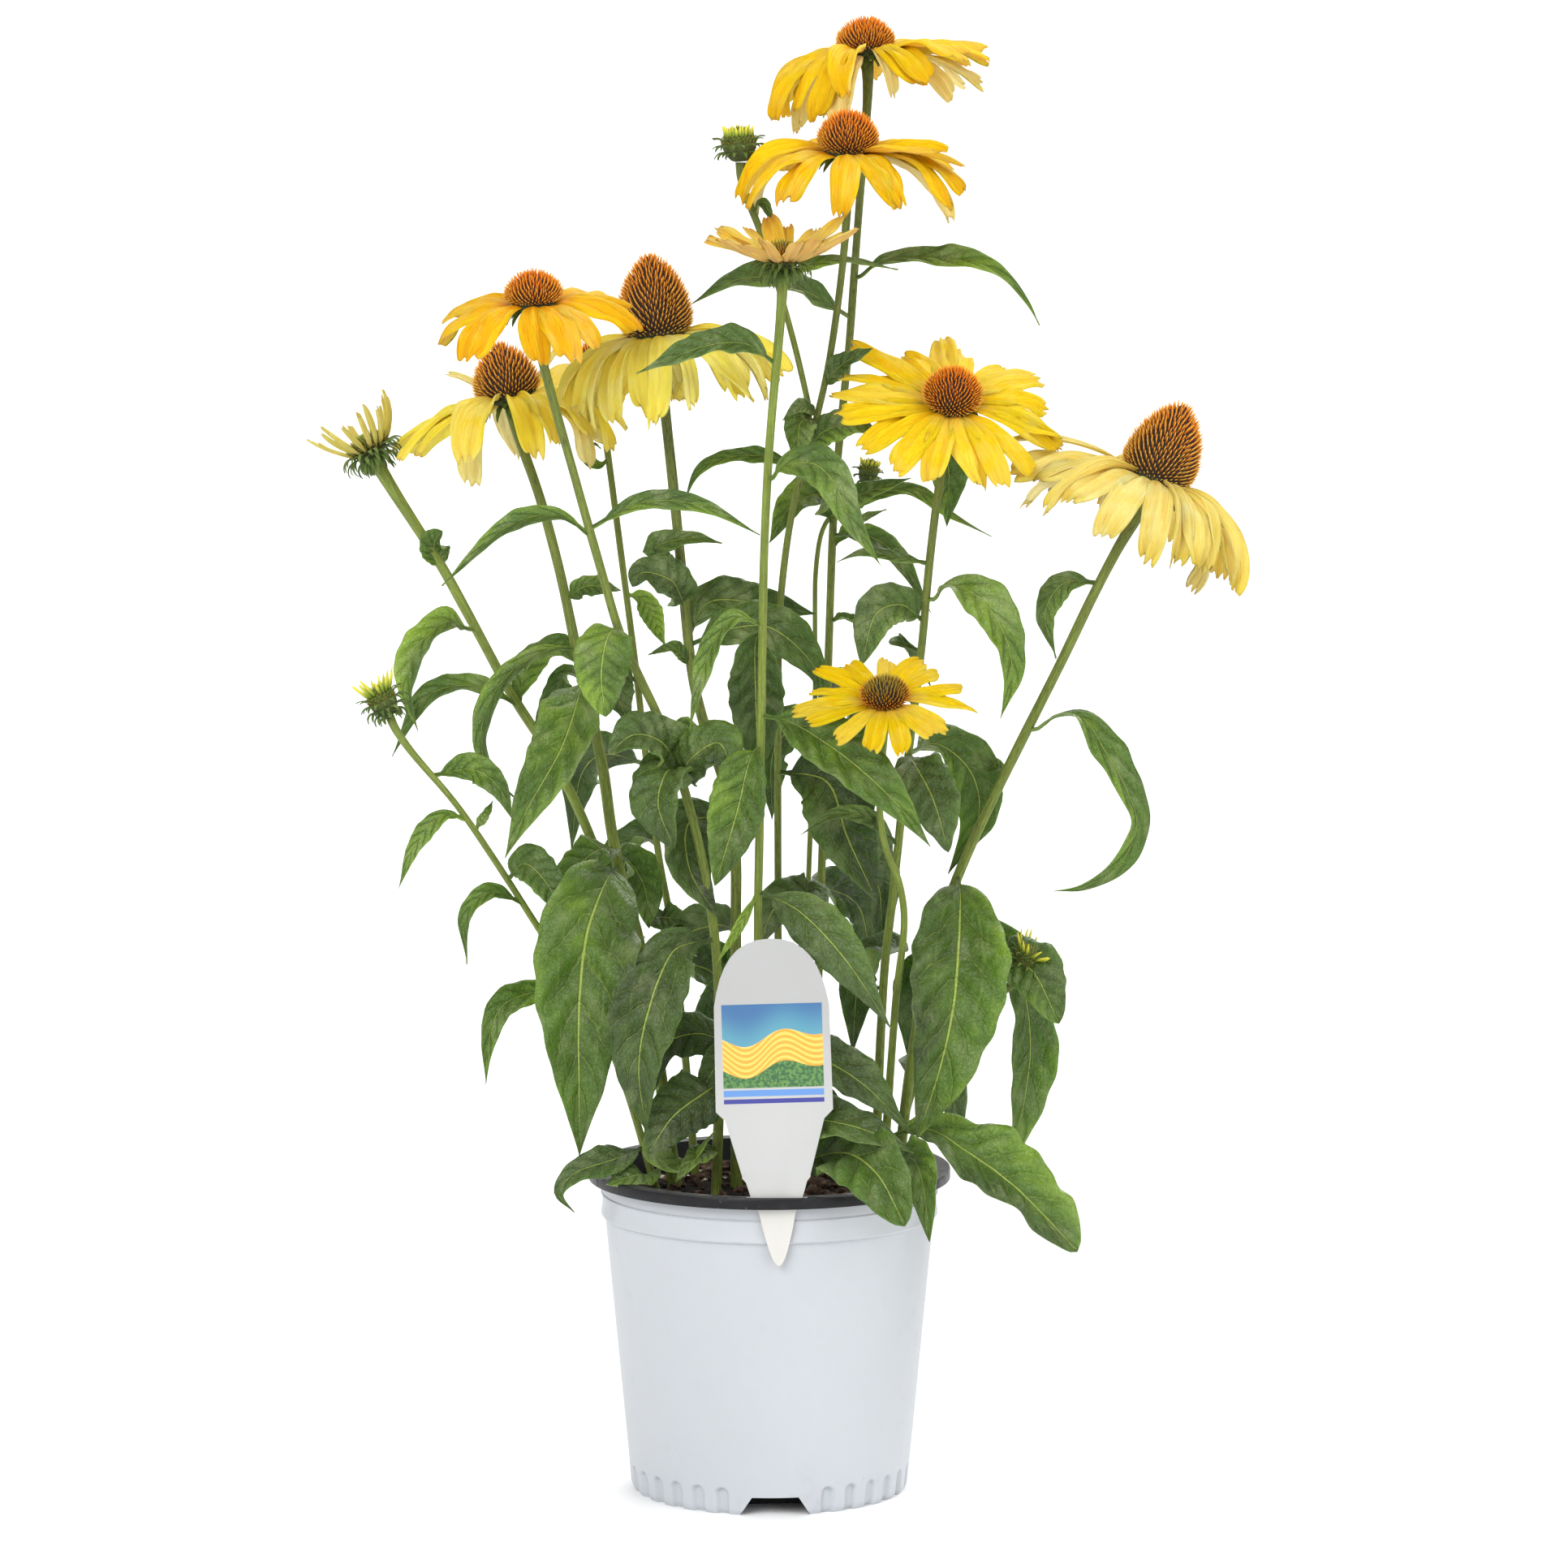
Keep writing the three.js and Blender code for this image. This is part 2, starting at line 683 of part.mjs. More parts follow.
// All the rays of a flower, joined by a thin band round the waist of its cone
function buildRays({ name, cone: [diameter], rays }, group) {
  const inner = (WAIST * diameter) / 2 + GAP;
  const [across, half] = RAY_BAND;
  const band = [
    [inner, -half],
    [inner + across, -half],
    [inner + across, half],
    [inner, half],
    [inner, -half],
  ];
  let whorl = solidOf(turned(band, CONE_SIDES + 6));
  for (let i = 0; i < rays.count; i += 1) {
    const heading = (2 * PI * (i + 0.5 + vary(i, RAY_SPREAD.place))) / rays.count - PI / 2;
    const lower = rays.swing * cos(heading - radians(rays.low));
    const droop = rays.droop + lower + vary(i + 3, RAY_SPREAD.droop);
    const length = rays.length * (1 + vary(i + 5, RAY_SPREAD.length));
    const start = inner + across / 2;
    const { rings, base, tip } = rayRings(start, heading, length, rays.width, rays.rise, droop);
    whorl = whorl.add(solidOf(loft(base, rings, tip)));
  }
  add(name + "_rays", geometryOf(whorl), materials.rays, group);
}

function buildBud({ name, head: [diameter, height] }, group) {
  const r = diameter / 2;
  const profile = [
    [0.35 * r, -RECEPTACLE + 0.4],
    [0.85 * r, 0.1 * height],
    [r, 0.45 * height],
    [0.9 * r, 0.8 * height],
    [0.45 * r, 0.97 * height],
  ];
  add(name + "_head", dome(-RECEPTACLE, profile, height, CONE_SIDES), materials.bud, group);
}

// A leaf: a blade with a shallow fold along its midrib, widest before its middle
function bladeShare(t) {
  const u = max(0, (t - 0.07) / 0.93);
  return max(0.07, sin(PI * u ** 0.82));
}

function buildLeaf({ name, on, bends, width, face }) {
  const base = leavingStem(...on, bends[0]);
  const curve = new THREE.CatmullRomCurve3([base, ...bends.map(vector)], false, "centripetal");
  const upper = vector(face).normalize();
  const shares = [0.02, 0.1, 0.2, 0.34, 0.48, 0.62, 0.76, 0.9];
  const rings = shares.map((t) => {
    const centre = curve.getPointAt(t);
    const along = curve.getTangentAt(t);
    const side = upper.clone().cross(along).normalize();
    const normal = along.clone().cross(side);
    const half = (width * bladeShare(t)) / 2;
    const thick = LEAF_THICKNESS / 2;
    const offset = (across, up) =>
      centre.clone().addScaledVector(side, across).addScaledVector(normal, up);
    const fold = max(0.25 * half, thick + 0.2);
    return [offset(half, fold), offset(0, thick), offset(-half, fold), offset(0, -thick)];
  });
  add(name, loft(base, rings, curve.getPointAt(1)), materials.leaf);
}

buildPot();
buildSoil();
buildTag();
for (const flower of FLOWERS) {
  buildStem(flower);
  const head = headGroup(flower);
  buildCone(flower, head);
  buildRays(flower, head);
}
for (const bud of BUDS) {
  buildStem(bud);
  buildBud(bud, headGroup(bud));
}
LEAVES.forEach(buildLeaf);

export default plant;
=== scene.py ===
"""Potted coneflower: the finished look of every piece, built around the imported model.

Lengths in the tables are millimetres and angles are degrees. Everything else is in metres. The plant is
seen from -Y, with +X to the right and +Z up.
"""

import contextlib
import functools
import itertools
import math

import bmesh
import bpy
import numpy as np
from bpy.props import FloatProperty, FloatVectorProperty, IntProperty, PointerProperty
from bpy.types import Operator, Panel, PropertyGroup
from mathutils import Matrix, Vector, noise


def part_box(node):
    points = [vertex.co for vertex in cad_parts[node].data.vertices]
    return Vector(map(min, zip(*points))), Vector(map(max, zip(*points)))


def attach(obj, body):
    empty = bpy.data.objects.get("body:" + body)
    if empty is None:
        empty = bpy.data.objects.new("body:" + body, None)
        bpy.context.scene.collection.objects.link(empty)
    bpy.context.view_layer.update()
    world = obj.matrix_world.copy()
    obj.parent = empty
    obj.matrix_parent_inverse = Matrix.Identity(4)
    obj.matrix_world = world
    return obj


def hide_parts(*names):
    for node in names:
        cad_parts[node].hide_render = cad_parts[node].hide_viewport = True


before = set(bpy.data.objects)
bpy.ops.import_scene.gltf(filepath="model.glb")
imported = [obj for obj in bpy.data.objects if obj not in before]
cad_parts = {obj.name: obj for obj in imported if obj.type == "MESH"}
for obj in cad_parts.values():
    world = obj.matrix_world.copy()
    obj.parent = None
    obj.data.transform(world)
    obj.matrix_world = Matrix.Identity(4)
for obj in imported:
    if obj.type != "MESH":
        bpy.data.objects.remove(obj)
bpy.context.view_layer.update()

bl_info = {
    "name": "Potted coneflower",
    "version": (1, 0, 0),
    "blender": (4, 5, 0),
    "location": "View3D > Sidebar > Coneflower",
    "description": "Builds a yellow coneflower in a nursery pot around its packed model",
    "category": "Add Mesh",
}

MM = 0.001

# How many sides a ring has in the frame's stems, heads and leaves
STEM_SIDES = 6
HEAD_SIDES = 10
LEAF_SIDES = 4
RECEPTACLE = 4 * MM  # how far a head reaches below its middle
RING_END_EDGES = 5  # edges at a point of the first or last ring
MERGE = 1e-5  # how near one another the loose corners of the frame's triangles are

# Rays of each flower, in the order of their count, length, width, rise at the cone, droop at the tip, the
# further droop towards a low side, that side's heading in the head's own frame, how the edges curl up, and
# how unlike each other they are
RAYS = {
    "flower_1": (18, 50, 13.8, 14, 60, 40, 190, -0.25, 1.3),
    "flower_2": (16, 49, 13.5, 14, 64, 14, -100, -0.25, 1.3),
    "flower_3": (18, 30, 8, 20, -32, 6, 170, 0.2, 0.8),
    "flower_4": (20, 56, 12, 2, 88, 12, 170, -0.2, 1.4),
    "flower_5": (12, 41, 15.5, 10, 56, 16, -90, -0.25, 0.9),
    "flower_6": (17, 50, 13.5, 6, 66, 24, -25, -0.2, 1.4),
    "flower_7": (12, 36, 12, 8, 74, 6, 180, -0.2, 1),
    "flower_8": (18, 45, 14, 10, 30, 14, -20, -0.15, 1),
    "flower_9": (20, 54, 14, 6, 78, 14, -30, -0.25, 1.2),
    "flower_10": (15, 32, 9.5, 8, 18, 8, 90, -0.1, 0.8),
    "flower_11": (19, 23, 2.6, 32, -74, 12, 180, 0.5, 0.5),
}

# Older rays that hang under the rest, and their tone, where a fresh ray's is at most 1
FADED_RAYS = {"flower_1": 7, "flower_2": 3, "flower_6": 4, "flower_9": 3}
FADED = 1.6

# Where the rays of a flower leave its stem to be seen: the heading of the gap and its width
GAPS = {
    "flower_1": (-84, 22),
    "flower_2": (-112, 14),
    "flower_4": (-80, 0),
    "flower_5": (-118, 18),
    "flower_6": (-100, 20),
    "flower_9": (-80, 0),
}

# Rays that stand apart: heading, length, width, rise, droop, how the edges curl up, and tone
STRAY_RAYS = {
    "flower_1": ((-64, 43, 14, 12, 64, -0.2, 0.3), (-72, 38, 7, 2, 84, 0.1, FADED)),
    "flower_2": ((-42, 44, 14, 12, 0, 0.45, 0.2), (-20, 46, 11, 10, 24, 0.2, 0.7)),
    "flower_5": ((-160, 34, 4.5, -30, 46, 0.4, FADED),),
    "flower_6": ((146, 27, 5.5, 56, -12, 0.5, FADED), (28, 30, 4, 40, -44, 0.5, FADED)),
    "flower_9": ((176, 58, 7, 12, 34, 0.4, 0.9),),
}
WAIST = 0.7  # a cone's radius where its rays join it, as a share of its full radius

# Colours of a flower's rays: the middle, the deeper foot, and the tip, as a colour picker shows them
RAY_COLOURS = {
    "flower_1": ((255, 196, 0), (240, 150, 0), (246, 184, 20)),
    "flower_2": ((252, 192, 0), (232, 142, 0), (238, 174, 14)),
    "flower_3": ((250, 196, 66), (226, 150, 40), (232, 166, 84)),
    "flower_4": ((255, 228, 96), (255, 208, 56), (250, 214, 84)),
    "flower_5": ((242, 178, 0), (228, 136, 0), (236, 168, 20)),
    "flower_6": ((255, 220, 64), (254, 194, 24), (252, 214, 100)),
    "flower_7": ((248, 206, 70), (238, 172, 26), (218, 188, 60)),
    "flower_8": ((255, 204, 14), (252, 176, 6), (252, 202, 44)),
    "flower_9": ((240, 208, 114), (230, 184, 62), (206, 180, 60)),
    "flower_10": ((255, 204, 0), (246, 162, 0), (250, 194, 10)),
    "flower_11": ((228, 206, 98), (176, 168, 56), (234, 204, 104)),
}

# Colours of a cone's spines: the shaft low on the cone, the shaft at its top, the tip low and the tip high
CONE_COLOURS = {
    "ripe": ((156, 86, 18), (214, 106, 10), (240, 188, 70), (244, 150, 26)),
    "old": ((142, 88, 24), (198, 112, 22), (240, 194, 86), (240, 166, 48)),
    "young": ((116, 62, 16), (136, 104, 32), (222, 148, 42), (146, 150, 56)),
    "green": ((70, 78, 28), (110, 124, 44), (150, 150, 64), (160, 168, 70)),
}
CONE_KINDS = {
    "flower_3": "young",
    "flower_4": "old",
    "flower_6": "old",
    "flower_9": "old",
    "flower_10": "young",
    "flower_11": "green",
}


def linear(red, green, blue):
    """A colour picker's numbers, 0 to 255, as the renderer's linear colour."""
    shares = [c / 255 for c in (red, green, blue)]
    return tuple(s / 12.92 if s <= 0.04045 else ((s + 0.055) / 1.055) ** 2.4 for s in shares)


def colour(name, description, red, green, blue):
    """A colour setting, given as a colour picker's numbers."""
    shade = linear(red, green, blue)
    return FloatVectorProperty(
        name=name, description=description, subtype="COLOR", size=3, min=0, max=1, default=shade
    )


def metres(name, description, value):
    return FloatProperty(name=name, description=description, unit="LENGTH", default=value)


def millimetres(name, description, value):
    return metres(name, description, value * MM)


def plain_number(name, description, value):
    return FloatProperty(name=name, description=description, default=value)


POT_LOW, POT_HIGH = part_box("pot")


class PotSettings(PropertyGroup):
    """Sizes and colours of the nursery pot."""

    height: metres("Height", "From the ground to the rim", POT_HIGH.z - POT_LOW.z)
    rim_radius: metres("Rim radius", "Of the flat rim", POT_HIGH.x)
    rim_edge: millimetres("Rim edge", "Height of the turned-down edge of the rim", 5)
    collar_radius: millimetres("Collar radius", "Of the band just under the rim", 76.4)
    collar_height: millimetres("Collar height", "From the rim down to the step under the collar", 21.3)
    wall_radius: millimetres("Wall radius", "Just under the collar", 74.8)
    base_radius: millimetres("Base radius", "Where the wall meets the ground", 63)
    wall: millimetres("Wall thickness", "Of the moulded plastic", 1.4)
    flute_width: millimetres("Flute width", "Of each arched groove round the foot", 6)
    flute_height: millimetres("Flute height", "Of each arched groove round the foot", 12.5)
    flute_depth: millimetres("Flute depth", "How deep a groove is pressed in", 2)
    outside: colour("Outside", "Plastic of the wall", 180, 184, 189)
    # This colour is also laid on the skin of the drain channels as painted shade.
    inside: colour("Inside", "Plastic of the rim and the inside", 22, 22, 25)


class SoilSettings(PropertyGroup):
    """Sizes and colours of the potting mix."""

    radius: millimetres("Radius", "Of the surface in the pot", 73.8)
    level: millimetres("Level", "Height of the surface at the pot's wall", 135)
    mound: millimetres("Mound", "How much higher it is in the middle", 5)
    crumbs: IntProperty(name="Crumbs", description="Small lumps of peat", default=420)
    chips: IntProperty(name="Bark chips", description="Pieces of bark", default=170)
    perlite: IntProperty(name="Perlite", description="White grains", default=60)
    peat: colour("Peat", "The fine part of the mix", 42, 31, 24)
    bark: colour("Bark", "The chips in the mix", 66, 47, 36)


class PlantSettings(PropertyGroup):
    """Sizes and colours of stems, leaves, cones and rays."""

    ray_thickness: millimetres("Ray thickness", "Of a petal", 0.45)
    leaf_thickness: millimetres("Leaf thickness", "Of a blade between its veins", 0.5)
    petiole_width: millimetres("Petiole width", "Of a leaf's stalk", 2)
    spine_spacing: millimetres("Spine spacing", "Between neighbours on a cone", 1.85)
    spine_length: millimetres("Spine length", "How far a spine stands out of its cone", 3.9)
    spine_radius: millimetres("Spine radius", "Half the thickness of a spine", 0.56)
    stem_green: colour("Stem", "A fresh stem", 132, 150, 60)
    stem_dark: colour("Dark stem", "Streaks and old stems", 66, 68, 34)
    # Painted shade and light: the dark leaf colour stands for leaves in shade in the middle of the plant, the
    # bright one for leaves lit from behind.
    leaf_dark: colour("Dark leaf", "A leaf in the middle of the plant", 35, 50, 14)
    leaf_green: colour("Leaf", "A leaf's upper side", 74, 102, 24)
    leaf_bright: colour("Bright leaf", "A leaf with light behind it", 146, 176, 54)
    # Painted sheen: a grey highlight colour laid in patches on the upper side of leaves.
    leaf_painted_sheen: colour("Painted sheen", "The grey cast on a leaf's raised parts", 148, 158, 110)
    leaf_under: colour("Underside", "A leaf's lower side", 112, 136, 74)
    leaf_vein: colour("Veins", "Midrib and main veins", 164, 184, 88)


class StageSettings(PropertyGroup):
    """The floor, the lights and the camera."""

    floor_size: metres("Floor size", "Along each side", 50)
    floor_edge: metres("Floor edge", "Height of the white edges that stand up round the floor", 3)
    camera_distance: metres("Camera distance", "In front of the pot", 3)
    camera_height: metres("Camera height", "Above the floor", 0.697)
    camera_offset: millimetres("Camera offset", "To the right of the pot", 6.64)
    camera_pitch: FloatProperty(
        name="Camera pitch", description="How far it looks down", unit="ROTATION", default=math.radians(7.107)
    )
    lens: plain_number("Lens", "Focal length in millimetres", 153.7)
    daylight: plain_number("Daylight", "Strength of the white room", 0.5)
    key: plain_number("Key light", "Strength of the lamp at the front left", 1.9)
    fill: plain_number("Fill light", "Strength of the lamp at the front right", 1.3)
    back: plain_number("Back light", "Strength of the lamp behind", 1.9)


class ConeflowerSettings(PropertyGroup):
    pot: PointerProperty(type=PotSettings)
    soil: PointerProperty(type=SoilSettings)
    plant: PointerProperty(type=PlantSettings)
    stage: PointerProperty(type=StageSettings)


def settings():
    return bpy.context.scene.coneflower


# Shader maths


class Value:
    """An output of a node. Arithmetic on it adds Math nodes, so a formula reads as Python."""

    def __init__(self, finish, socket):
        self.finish = finish
        self.socket = socket

    def __add__(self, other):
        return self.finish.maths("ADD", self, other)

    def __sub__(self, other):
        return self.finish.maths("SUBTRACT", self, other)

    def __mul__(self, other):
        return self.finish.maths("MULTIPLY", self, other)

    def __abs__(self):
        return self.finish.maths("ABSOLUTE", self)

    __radd__ = __add__


class Finish:
    """A material and the nodes that feed its shader."""

    def __init__(self, name, roughness=0.5, **constants):
        self.material = bpy.data.materials.new(name)
        self.material.use_nodes = True
        self.tree = self.material.node_tree
        self.shader = self.tree.nodes["Principled BSDF"]
        self.shader.inputs["Roughness"].default_value = roughness
        for socket, value in constants.items():
            self.shader.inputs[socket.replace("_", " ")].default_value = value

    def node(self, kind, options=None, values=None, output=0):
        """A new node with its options and the values or links of its sockets."""
        node = self.tree.nodes.new(kind)
        for name, value in (options or {}).items():
            setattr(node, name, value)
        for socket, value in (values or {}).items():
            self.feed(node.inputs[socket], value)
        return Value(self, node.outputs[output])

    def feed(self, socket, value):
        if isinstance(value, Value):
            self.tree.links.new(value.socket, socket)
        elif socket.type == "RGBA":
            socket.default_value = (*value[:3], 1)
        else:
            socket.default_value = value

    def surface(self, **values):
        for socket, value in values.items():
            self.feed(self.shader.inputs[socket.replace("_", " ")], value)

    def maths(self, operation, *values):
        return self.node("ShaderNodeMath", {"operation": operation}, dict(enumerate(values)))

    def mix(self, share, first, second):
        """Two colours mixed."""
        kind = {"data_type": "RGBA"}
        return self.node("ShaderNodeMix", kind, {0: share, 6: first, 7: second}, output=2)

    def ramp(self, value, stops):
        """Colours along a value from 0 to 1, each given with its place."""
        result = self.node("ShaderNodeValToRGB", {}, {0: value})
        ramp = result.socket.node.color_ramp
        while len(ramp.elements) < len(stops):
            ramp.elements.new(0.5)
        for element, (place, tint) in zip(ramp.elements, stops):
            element.position = place
            element.color = (*tint, 1)
        return result

    def step(self, value, low, high):
        """From 0 at low to 1 at high, smoothly."""
        kind = {"interpolation_type": "SMOOTHSTEP"}
        return self.node("ShaderNodeMapRange", kind, {0: value, 1: low, 2: high})

    def attributes(self, *names):
        return [self.node("ShaderNodeAttribute", {"attribute_name": name}, output=2) for name in names]

    def place(self):
        """The point on the piece, in metres."""
        return self.node("ShaderNodeTexCoord", output=3)

    def parts(self, vector):
        return [self.node("ShaderNodeSeparateXYZ", {}, {0: vector}, output=i) for i in range(3)]

    def join(self, *parts):
        return self.node("ShaderNodeCombineXYZ", {}, dict(enumerate(parts)))

    def clouds(self, where, scale, detail=3, rough=0.55):
        """Soft noise around a half, with about this many spots in a metre."""
        values = {"Vector": where, "Scale": scale, "Detail": detail, "Roughness": rough}
        return self.node("ShaderNodeTexNoise", {}, values)

    def cells(self, where, scale, feature="DISTANCE_TO_EDGE"):
        return self.node("ShaderNodeTexVoronoi", {"feature": feature}, {"Vector": where, "Scale": scale})

    def bump(self, height, distance):
        return self.node("ShaderNodeBump", {}, {"Height": height, "Distance": distance, "Strength": 1})


# Lines and frames in space


def unit(vectors):
    return vectors / np.maximum(np.linalg.norm(vectors, axis=-1, keepdims=True), 1e-12)


def smooth_step(t):
    t = np.clip(t, 0, 1)
    return t * t * (3 - 2 * t)


def vary(i, amount):
    """An even spread of values from -amount to amount that keeps neighbours apart."""
    return amount * math.sin(2.4 * i + 0.7)


class Route:
    """A smooth line through points, read by the share of its length."""

    STEPS = 12

    def __init__(self, points):
        points = np.asarray(points, float)
        ends = 2 * points[[0, -1]] - points[[1, -2]]
        knots = np.vstack([ends[0], points, ends[1]])
        gaps = np.sqrt(np.maximum(np.linalg.norm(np.diff(knots, axis=0), axis=1), 1e-9))
        times = np.concatenate([[0], np.cumsum(gaps)])
        line = [self.between(knots[i : i + 4], times[i : i + 4]) for i in range(len(points) - 1)]
        self.points = np.vstack([*line, points[-1:]])
        walked = np.concatenate([[0], np.cumsum(np.linalg.norm(np.diff(self.points, axis=0), axis=1))])
        self.length = walked[-1]
        self.shares = walked / self.length

    def between(self, p, t):
        """Catmull-Rom points from the second to just before the third of four points."""
        s = np.linspace(t[1], t[2], self.STEPS, endpoint=False)[:, None]
        a = [((t[i + 1] - s) * p[i] + (s - t[i]) * p[i + 1]) / (t[i + 1] - t[i]) for i in range(3)]
        b = [((t[i + 2] - s) * a[i] + (s - t[i]) * a[i + 1]) / (t[i + 2] - t[i]) for i in range(2)]
        return ((t[2] - s) * b[0] + (s - t[1]) * b[1]) / (t[2] - t[1])

    def at(self, share):
        return np.stack([np.interp(share, self.shares, column) for column in self.points.T], -1)

    def along(self, share):
        reach = 0.02
        return unit(self.at(np.minimum(share + reach, 1)) - self.at(np.maximum(share - reach, 0)))


def rings_of(node, sides):
    """The end point, the rings and the other end point of a frame piece that is a skin over rings."""
    shape = bmesh.new()
    shape.from_mesh(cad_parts[node].data)
    bmesh.ops.remove_doubles(shape, verts=shape.verts, dist=MERGE)

    def neighbours(vertex):
        return [edge.other_vert(vertex) for edge in vertex.link_edges]

    ends = [
        vertex
        for vertex in shape.verts
        if len(vertex.link_edges) == sides
        and all(len(near.link_edges) == RING_END_EDGES for near in neighbours(vertex))
    ]
    level = [min(ends, key=lambda vertex: vertex.co.z)]
    seen = set(level)
    levels = []
    while level:
        levels.append(np.array([vertex.co for vertex in level]))
        level = list({near: None for vertex in level for near in neighbours(vertex) if near not in seen})
        seen.update(level)
    shape.free()
    return levels


class Head:
    """Where a flower's or bud's head is: its middle, its own frame, its radius and its height."""

    def __init__(self, node):
        rings = rings_of(node, HEAD_SIDES)
        bottom, top = rings[0][0], rings[-1][0]
        self.up = unit(top - bottom)
        self.height = np.linalg.norm(top - bottom) - RECEPTACLE
        self.middle = bottom + RECEPTACLE * self.up
        spreads = [np.linalg.norm(np.cross(ring - bottom, self.up), axis=1).mean() for ring in rings[1:-1]]
        self.radius = max(spreads)
        turn = Vector((0, 0, 1)).rotation_difference(Vector(self.up)).to_matrix()
        self.turn = np.array(turn)

    def placed(self, points):
        return self.middle + np.asarray(points) @ self.turn.T


class Stem:
    """The middle line of a stem of the frame and its radius along it."""

    def __init__(self, name):
        rings = rings_of(name + "_stem", STEM_SIDES)
        self.route = Route([ring.mean(axis=0) for ring in rings])
        self.radii = [np.linalg.norm(ring - ring.mean(axis=0), axis=1).mean() for ring in rings[1:-1]]

    def at_height(self, z):
        """The point of the middle line at a height."""
        heights = self.route.points[:, 2]
        nearest = int(np.argmin(np.abs(heights - z)))
        return self.route.points[nearest]

    def nearest(self, point):
        return self.route.points[np.argmin(np.linalg.norm(self.route.points - point, axis=1))]


def round_axis(out, sideways, height, heading):
    """Points given outwards from an axis, sideways and up, at a heading round that axis."""
    cosine, sine = np.cos(heading), np.sin(heading)
    return np.stack([out * cosine - sideways * sine, out * sine + sideways * cosine, height], -1)


# Pieces


def add_object(name, data):
    """A new object in the scene."""
    piece = bpy.data.objects.new(name, data)
    bpy.context.scene.collection.objects.link(piece)
    return piece


def points_of(piece):
    return np.array([vertex.co for vertex in piece.data.vertices])


def take_alone(piece):
    """Deselects everything else, so that an operator acts on this piece only."""
    bpy.ops.object.select_all(action="DESELECT")
    piece.select_set(True)
    bpy.context.view_layer.objects.active = piece


@contextlib.contextmanager
def editing(piece):
    """Edit mode on this piece only, with everything in it selected."""
    take_alone(piece)
    bpy.ops.object.mode_set(mode="EDIT")
    bpy.ops.mesh.select_all(action="SELECT")
    yield
    bpy.ops.object.mode_set(mode="OBJECT")


def primitive(kind, **sizes):
    bpy.ops.object.select_all(action="DESELECT")
    getattr(bpy.ops.mesh, f"primitive_{kind}_add")(**sizes)
    return bpy.context.object


def apply_modifier(piece, kind, **values):
    modifier = piece.modifiers.new(kind.title(), kind)
    for name, value in values.items():
        setattr(modifier, name, value)
    take_alone(piece)
    bpy.ops.object.modifier_apply(modifier=modifier.name)


class Template:
    """The points and faces of a shape that is modelled once and copied."""

    def __init__(self, piece):
        self.points = points_of(piece)
        self.faces = [tuple(polygon.vertices) for polygon in piece.data.polygons]
        bpy.data.objects.remove(piece)


def strip(across, along):
    """A strip with thickness: x across from -1 to 1, y along from 0 to 1, and z through it."""
    piece = primitive("grid", x_subdivisions=across, y_subdivisions=along, size=2)
    with editing(piece):
        bpy.ops.transform.resize(value=(1, 0.5, 1))
        bpy.ops.transform.translate(value=(0, 0.5, 0))
    apply_modifier(piece, "SOLIDIFY", thickness=1, offset=0)
    return Template(piece)


def tube(sides, cuts, top=1.0):
    """A closed tube with radius 1 at its foot, from z = 0 to z = 1."""
    piece = primitive("cone", vertices=sides, radius1=1, radius2=top, depth=1, location=(0, 0, 0.5))
    bpy.ops.object.transform_apply(location=True)
    with editing(piece):
        bpy.ops.mesh.select_mode(type="EDGE")
        bpy.ops.mesh.select_all(action="DESELECT")
        shape = bmesh.from_edit_mesh(piece.data)
        for edge in shape.edges:
            foot, head = edge.verts
            edge.select_set(abs(foot.co.z - head.co.z) > 0.5)
        bmesh.update_edit_mesh(piece.data)
        bpy.ops.mesh.subdivide(number_cuts=cuts)
    return Template(piece)


def lump(subdivisions):
    return Template(primitive("ico_sphere", subdivisions=subdivisions, radius=1))


def set_attribute(mesh, key, values):
    mesh.attributes.new(key, "FLOAT", "POINT").data.foreach_set("value", np.asarray(values, np.float32))


def copies(name, template, shapes, **attributes):
    """One piece made of copies of a template, each with its own points. An attribute has an array for
    each copy, or one number for the whole of it."""
    count = len(template.points)
    faces = [tuple(i + k * count for i in face) for k in range(len(shapes)) for face in template.faces]
    mesh = bpy.data.meshes.new(name)
    mesh.from_pydata(np.vstack(shapes), [], faces)
    for key, values in attributes.items():
        spread = [np.broadcast_to(np.asarray(value, float), count) for value in values]
        set_attribute(mesh, key, np.concatenate(spread))
    return add_object(name, mesh)


def strips(name, template, shapes, tones):
    """Copies of a strip, with the attributes that the finishes of rays, bracts and leaves read."""
    v, u, w = template.points.T
    count = len(shapes)
    return copies(
        name, template, shapes, along=[u] * count, across=[v] * count, under=[w < 0] * count, tone=tones
    )


def finish_piece(piece, finishes, slot, *nodes, angle=None):
    """Gives a piece its materials and shading, and hides the frame pieces that it stands for."""
    for finish in finishes:
        piece.data.materials.append(finish.material)
    take_alone(piece)
    if angle is None:
        bpy.ops.object.shade_smooth()
    else:
        bpy.ops.object.shade_smooth_by_angle(angle=math.radians(angle))
    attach(piece, "root")
    if nodes:
        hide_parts(*nodes)


def join_pieces(pieces):
    take_alone(pieces[0])
    for piece in pieces:
        piece.select_set(True)
    bpy.ops.object.join()
    return bpy.context.object


# Pot

POT_STEPS = 540  # round the pot
FOOT_ROWS = 16  # in the band that the flutes are pressed into


